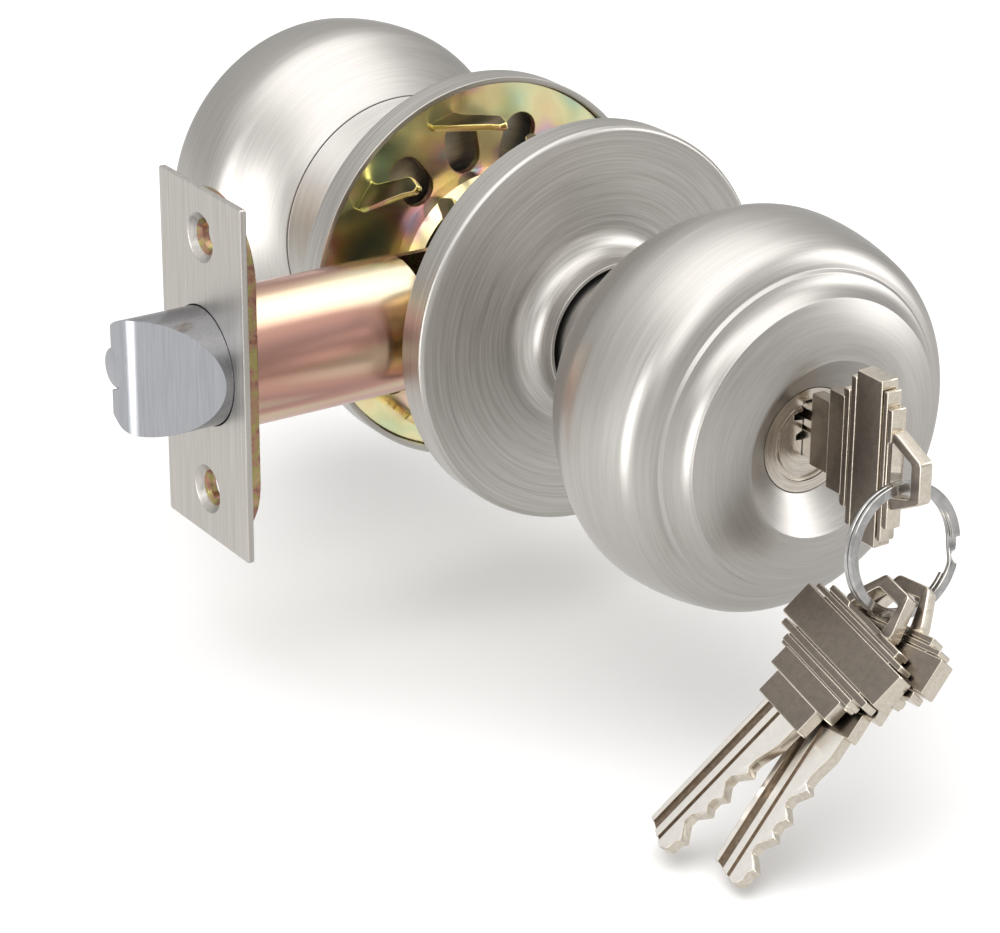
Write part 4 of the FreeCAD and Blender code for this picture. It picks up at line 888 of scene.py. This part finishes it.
CARRIED = {
    # The hub frame's chromated cheeks take the dark copper-brown as painted shade.
    "copper": ("hub_frame",),
    "zinc": ("frame_rivet", "tail_rivet", "bolt_tail", "outer_posts", "mounting_screws",
             "outer_spindle", "torque_blade"),
    "black": ("latch_cam", "inner_driver", "outer_bearing", "inner_bearing"),
    "chromate": ("outer_spring_cage", "inner_spring_cage"),
    "spring": ("latch_spring", "deadlatch_spring", "outer_return_spring", "inner_return_spring",
               "pin_springs", "plug_clip", "button_clip", "outer_snap_ring", "inner_snap_ring"),
    "brass": ("cylinder_cap", "driver_pins", "key_pins"),
}


def carried_pieces(_looks):
    """Finish every node that is shown as the frame has it."""
    for finish, names in CARRIED.items():
        for name in names:
            slots = NODES[name].data.materials
            if not slots:
                slots.append(FINISH[finish])
            for place in range(len(slots)):
                slots[place] = FINISH[finish]


# ---------------------------------------------------------------- studio

def area_light(name, place, target, wide, high, watts):
    """A white softbox that the camera doesn't see."""
    lamp = bpy.data.lights.new(name, "AREA")
    lamp.shape = "RECTANGLE"
    lamp.size, lamp.size_y = wide, high
    lamp.energy = watts
    holder = placed(name, lamp)
    holder.location = place
    way = Vector(target) - Vector(place)
    holder.rotation_euler = way.to_track_quat("-Z", "Y").to_euler()
    holder.visible_camera = False


def camera():
    """Long lens, looking down on the keyed side and the faceplate."""
    yaw, pitch, roll = math.radians(33.43), math.radians(23.44), math.radians(0.41)
    level = math.cos(pitch)
    ahead = Vector((math.sin(yaw) * level, math.cos(yaw) * level, -math.sin(pitch)))
    right = Vector((math.cos(yaw), -math.sin(yaw), 0))
    up = right.cross(ahead)
    tilted_right = right * math.cos(roll) + up * math.sin(roll)
    tilted_up = up * math.cos(roll) - right * math.sin(roll)
    turned = Matrix((tilted_right, tilted_up, -ahead)).transposed().to_4x4()
    lens = bpy.data.cameras.new("studio_camera")
    lens.sensor_fit = "HORIZONTAL"
    lens.sensor_width = 36.0
    lens.lens = 121.7
    lens.clip_start = 0.01
    stand = (-0.2866, -0.4256, 0.1916)
    holder = placed("studio_camera", lens)
    holder.matrix_world = Matrix.Translation(stand) @ turned
    bpy.context.scene.camera = holder


def floor(colour):
    """A wide, plain pale floor."""
    mesh = bmesh.new()
    reach, drop = 8, 0.0012
    level = CAD_BOX[0][2] - drop
    turns = [math.radians(degrees) for degrees in range(0, 360, 6)]
    rim = [mesh.verts.new((reach * math.cos(turn), reach * math.sin(turn), level))
           for turn in turns]
    mesh.faces.new(rim)
    data = bpy.data.meshes.new("studio_floor")
    mesh.to_mesh(data)
    mesh.free()
    data.shade_smooth()
    material, tree, shader = new_material("matt_paper_sweep")
    fibres = stretched(tree, (900, 900, 900))
    noise = add(tree, "ShaderNodeTexNoise", {"Vector": fibres, "Scale": 1.0})
    relief = add(tree, "ShaderNodeBump", {"Strength": 0.1, "Distance": 0.00002,
                                          "Height": noise.outputs[0]})
    feed(tree, shader, {"Base Color": list(colour) + [1.0], "Roughness": 0.9,
                        "Normal": relief.outputs[0]})
    data.materials.append(material)
    piece = placed("studio_floor", data)
    piece.visible_glossy = False


# Name, place, where it points, width and height in metres, and watts.
SOFTBOXES = (
    ("left_softbox", (-0.9, 0.0, 0.0), (0, 0, 0), 0.35, 0.7, 3.0),
    ("front_softbox", (-0.55, -0.6, 0.75), (0, -0.03, 0), 0.6, 0.6, 1.6),
    ("right_softbox", (0.8, -0.5, 0.35), (0, -0.03, 0), 0.4, 0.7, 3.2),
    ("top_softbox", (0.0, 0.05, 0.9), (0, 0, 0), 1.1, 1.1, 5.0),
)


def studio(looks):
    """The light from all round, the floor, the camera and the softboxes."""
    scene = bpy.context.scene
    scene.view_settings.view_transform = "Standard"
    world = bpy.data.worlds.new("studio_world")
    world.use_nodes = True
    tree = world.node_tree
    place = add(tree, "ShaderNodeTexCoord")
    split = add(tree, "ShaderNodeSeparateXYZ", {0: place.outputs["Generated"]})
    rise = add(tree, "ShaderNodeMapRange", {0: split.outputs[2], 1: -1.0, 2: 1.0, 3: 0.0, 4: 1.0})
    level = add(tree, "ShaderNodeValToRGB", {0: rise.outputs[0]},
                [(0.0, "#E6E6E6"), (0.25, "#FFFFFF"), (0.42, "#F4F4F4"), (0.52, "#C8C8C8"),
                 (0.68, "#CACACA"), (0.84, "#F8F8F8"), (1.0, "#FFFFFF")])
    side = add(tree, "ShaderNodeMapRange", {0: split.outputs[0], 1: -1.0, 2: 1.0, 3: 1.5, 4: 1.05})
    lit = add(tree, "ShaderNodeMixRGB", {0: 1.0, 1: level.outputs[0], 2: side.outputs[0]},
              blend_type="MULTIPLY")
    shade = add(tree, "ShaderNodeMixRGB", {0: 1.0, 1: list(looks.surround) + [1.0],
                                           2: lit.outputs[0]}, blend_type="MULTIPLY")
    feed(tree, tree.nodes["Background"], {"Color": shade.outputs[0],
                                          "Strength": looks.surround_strength})
    scene.world = world
    floor(looks.floor)
    camera()
    for softbox in SOFTBOXES:
        area_light(*softbox)


# ---------------------------------------------------------------- add-on

class LocksetLooks(bpy.types.PropertyGroup):
    """Sizes, colours and light that a user may change."""
    nickel_dark: bpy.props.FloatVectorProperty(
        name="Nickel, dark", description="Satin nickel in the bottom of its brushing",
        subtype="COLOR", default=srgb("#B4B1AD"), min=0, max=1)
    nickel_light: bpy.props.FloatVectorProperty(
        name="Nickel, light", description="Satin nickel on top of its brushing", subtype="COLOR",
        default=srgb("#C4C1BD"), min=0, max=1)
    key_dark: bpy.props.FloatVectorProperty(
        name="Key, dark", description="Darker patches of the key's bow", subtype="COLOR",
        default=srgb("#7E766D"), min=0, max=1)
    key_light: bpy.props.FloatVectorProperty(
        name="Key, light", description="Paler patches of the key's bow", subtype="COLOR",
        default=srgb("#8A8178"), min=0, max=1)
    brush_line: bpy.props.FloatProperty(
        name="Brush line", description="Distance between the circles of the knobs' brushing",
        subtype="DISTANCE", unit="LENGTH", default=0.00028, min=0.0001, max=0.002, precision=5)
    sheet_wave: bpy.props.FloatProperty(
        name="Sheet wave", description="Height of the waves pressed into the chromated sheet",
        subtype="DISTANCE", unit="LENGTH", default=0.0015, min=0, max=0.02, precision=5)
    bolt_edge: bpy.props.FloatProperty(
        name="Bolt edge", description="Rounding of the bolt's edges",
        subtype="DISTANCE", unit="LENGTH", default=0.00035, min=0, max=0.001, precision=5)
    button_edge: bpy.props.FloatProperty(
        name="Button edge", description="Rounding of the turn button's edges",
        subtype="DISTANCE", unit="LENGTH", default=0.00035, min=0, max=0.001, precision=5)
    surround: bpy.props.FloatVectorProperty(
        name="Surround", description="Colour of the light from all round", subtype="COLOR",
        default=srgb("#F4F3F1"), min=0, max=1)
    surround_strength: bpy.props.FloatProperty(
        name="Surround strength", description="How strong that light is", default=0.85,
        min=0, max=5)
    floor: bpy.props.FloatVectorProperty(
        name="Floor", description="Colour of the floor and backdrop", subtype="COLOR",
        default=srgb("#F6F6F6"), min=0, max=1)


def operator(name, label, doc, work):
    """An operator class that runs one piece's builder."""
    def execute(self, context):
        work(context.scene.lockset_looks)
        return {"FINISHED"}
    return type(f"LOCKSET_OT_{name}", (bpy.types.Operator,),
                {"bl_idname": f"lockset.{name}", "bl_label": label, "__doc__": doc,
                 "execute": execute})


WORKS = (
    ("latch_plates", "Latch plates", "Build the faceplate and the plate behind it.", latch_plates),
    ("latch_tube", "Latch barrel", "Build the barrel of the latch.", latch_tube),
    ("bolt", "Bolt", "Build the bevelled bolt and its deadlatch plunger.", bolt_and_plunger),
    ("roses", "Roses", "Build the round roses of both sides.", roses),
    ("mount_plates", "Clamp plates", "Build the slotted plates with prongs of both sides.",
     mount_plates),
    ("knobs", "Knobs", "Build the ball knobs of both sides.", knobs),
    ("cylinder", "Key cylinder", "Build the cylinder housing and the plug with its keyway.",
     cylinder_face),
    ("button", "Turn button", "Build the turn button of the room side.", button),
    ("keys", "Keys", "Build the key in the lock and the two spares.", keys),
    ("split_ring", "Split ring", "Build the split ring.", split_ring),
    ("carried", "Inner works", "Finish the pieces shown as the frame has them.", carried_pieces),
)


class LOCKSET_OT_stage(bpy.types.Operator):
    """Build the floor, the lights and the camera."""
    bl_idname = "lockset.stage"
    bl_label = "Studio"

    def execute(self, context):
        studio(context.scene.lockset_looks)
        return {"FINISHED"}


OPERATORS = [operator(*work) for work in WORKS] + [LOCKSET_OT_stage]


class LOCKSET_PT_sidebar(bpy.types.Panel):
    """The lockset's builders in the sidebar."""
    bl_label = "Knob lockset"
    bl_space_type = "VIEW_3D"
    bl_region_type = "UI"
    bl_category = "Lockset"

    def draw(self, context):
        looks = context.scene.lockset_looks
        for name in LocksetLooks.__annotations__:
            self.layout.prop(looks, name)
        for one in OPERATORS:
            self.layout.operator(one.bl_idname)


CLASSES = [LocksetLooks, *OPERATORS, LOCKSET_PT_sidebar]


def register():
    """Make the settings, operators and panel known to Blender."""
    for one in CLASSES:
        bpy.utils.register_class(one)
    bpy.types.Scene.lockset_looks = bpy.props.PointerProperty(type=LocksetLooks)


def unregister():
    """Take the settings, operators and panel out again."""
    del bpy.types.Scene.lockset_looks
    for one in reversed(CLASSES):
        bpy.utils.unregister_class(one)


def main():
    """Build everything, and write the boxes of the CAD and of the visible model."""
    register()
    FINISH.update(finishes(bpy.context.scene.lockset_looks))
    for one in OPERATORS:
        group, name = one.bl_idname.split(".")
        getattr(getattr(bpy.ops, group), name)()
    bpy.context.view_layer.update()


if __name__ == "__main__":
    main()
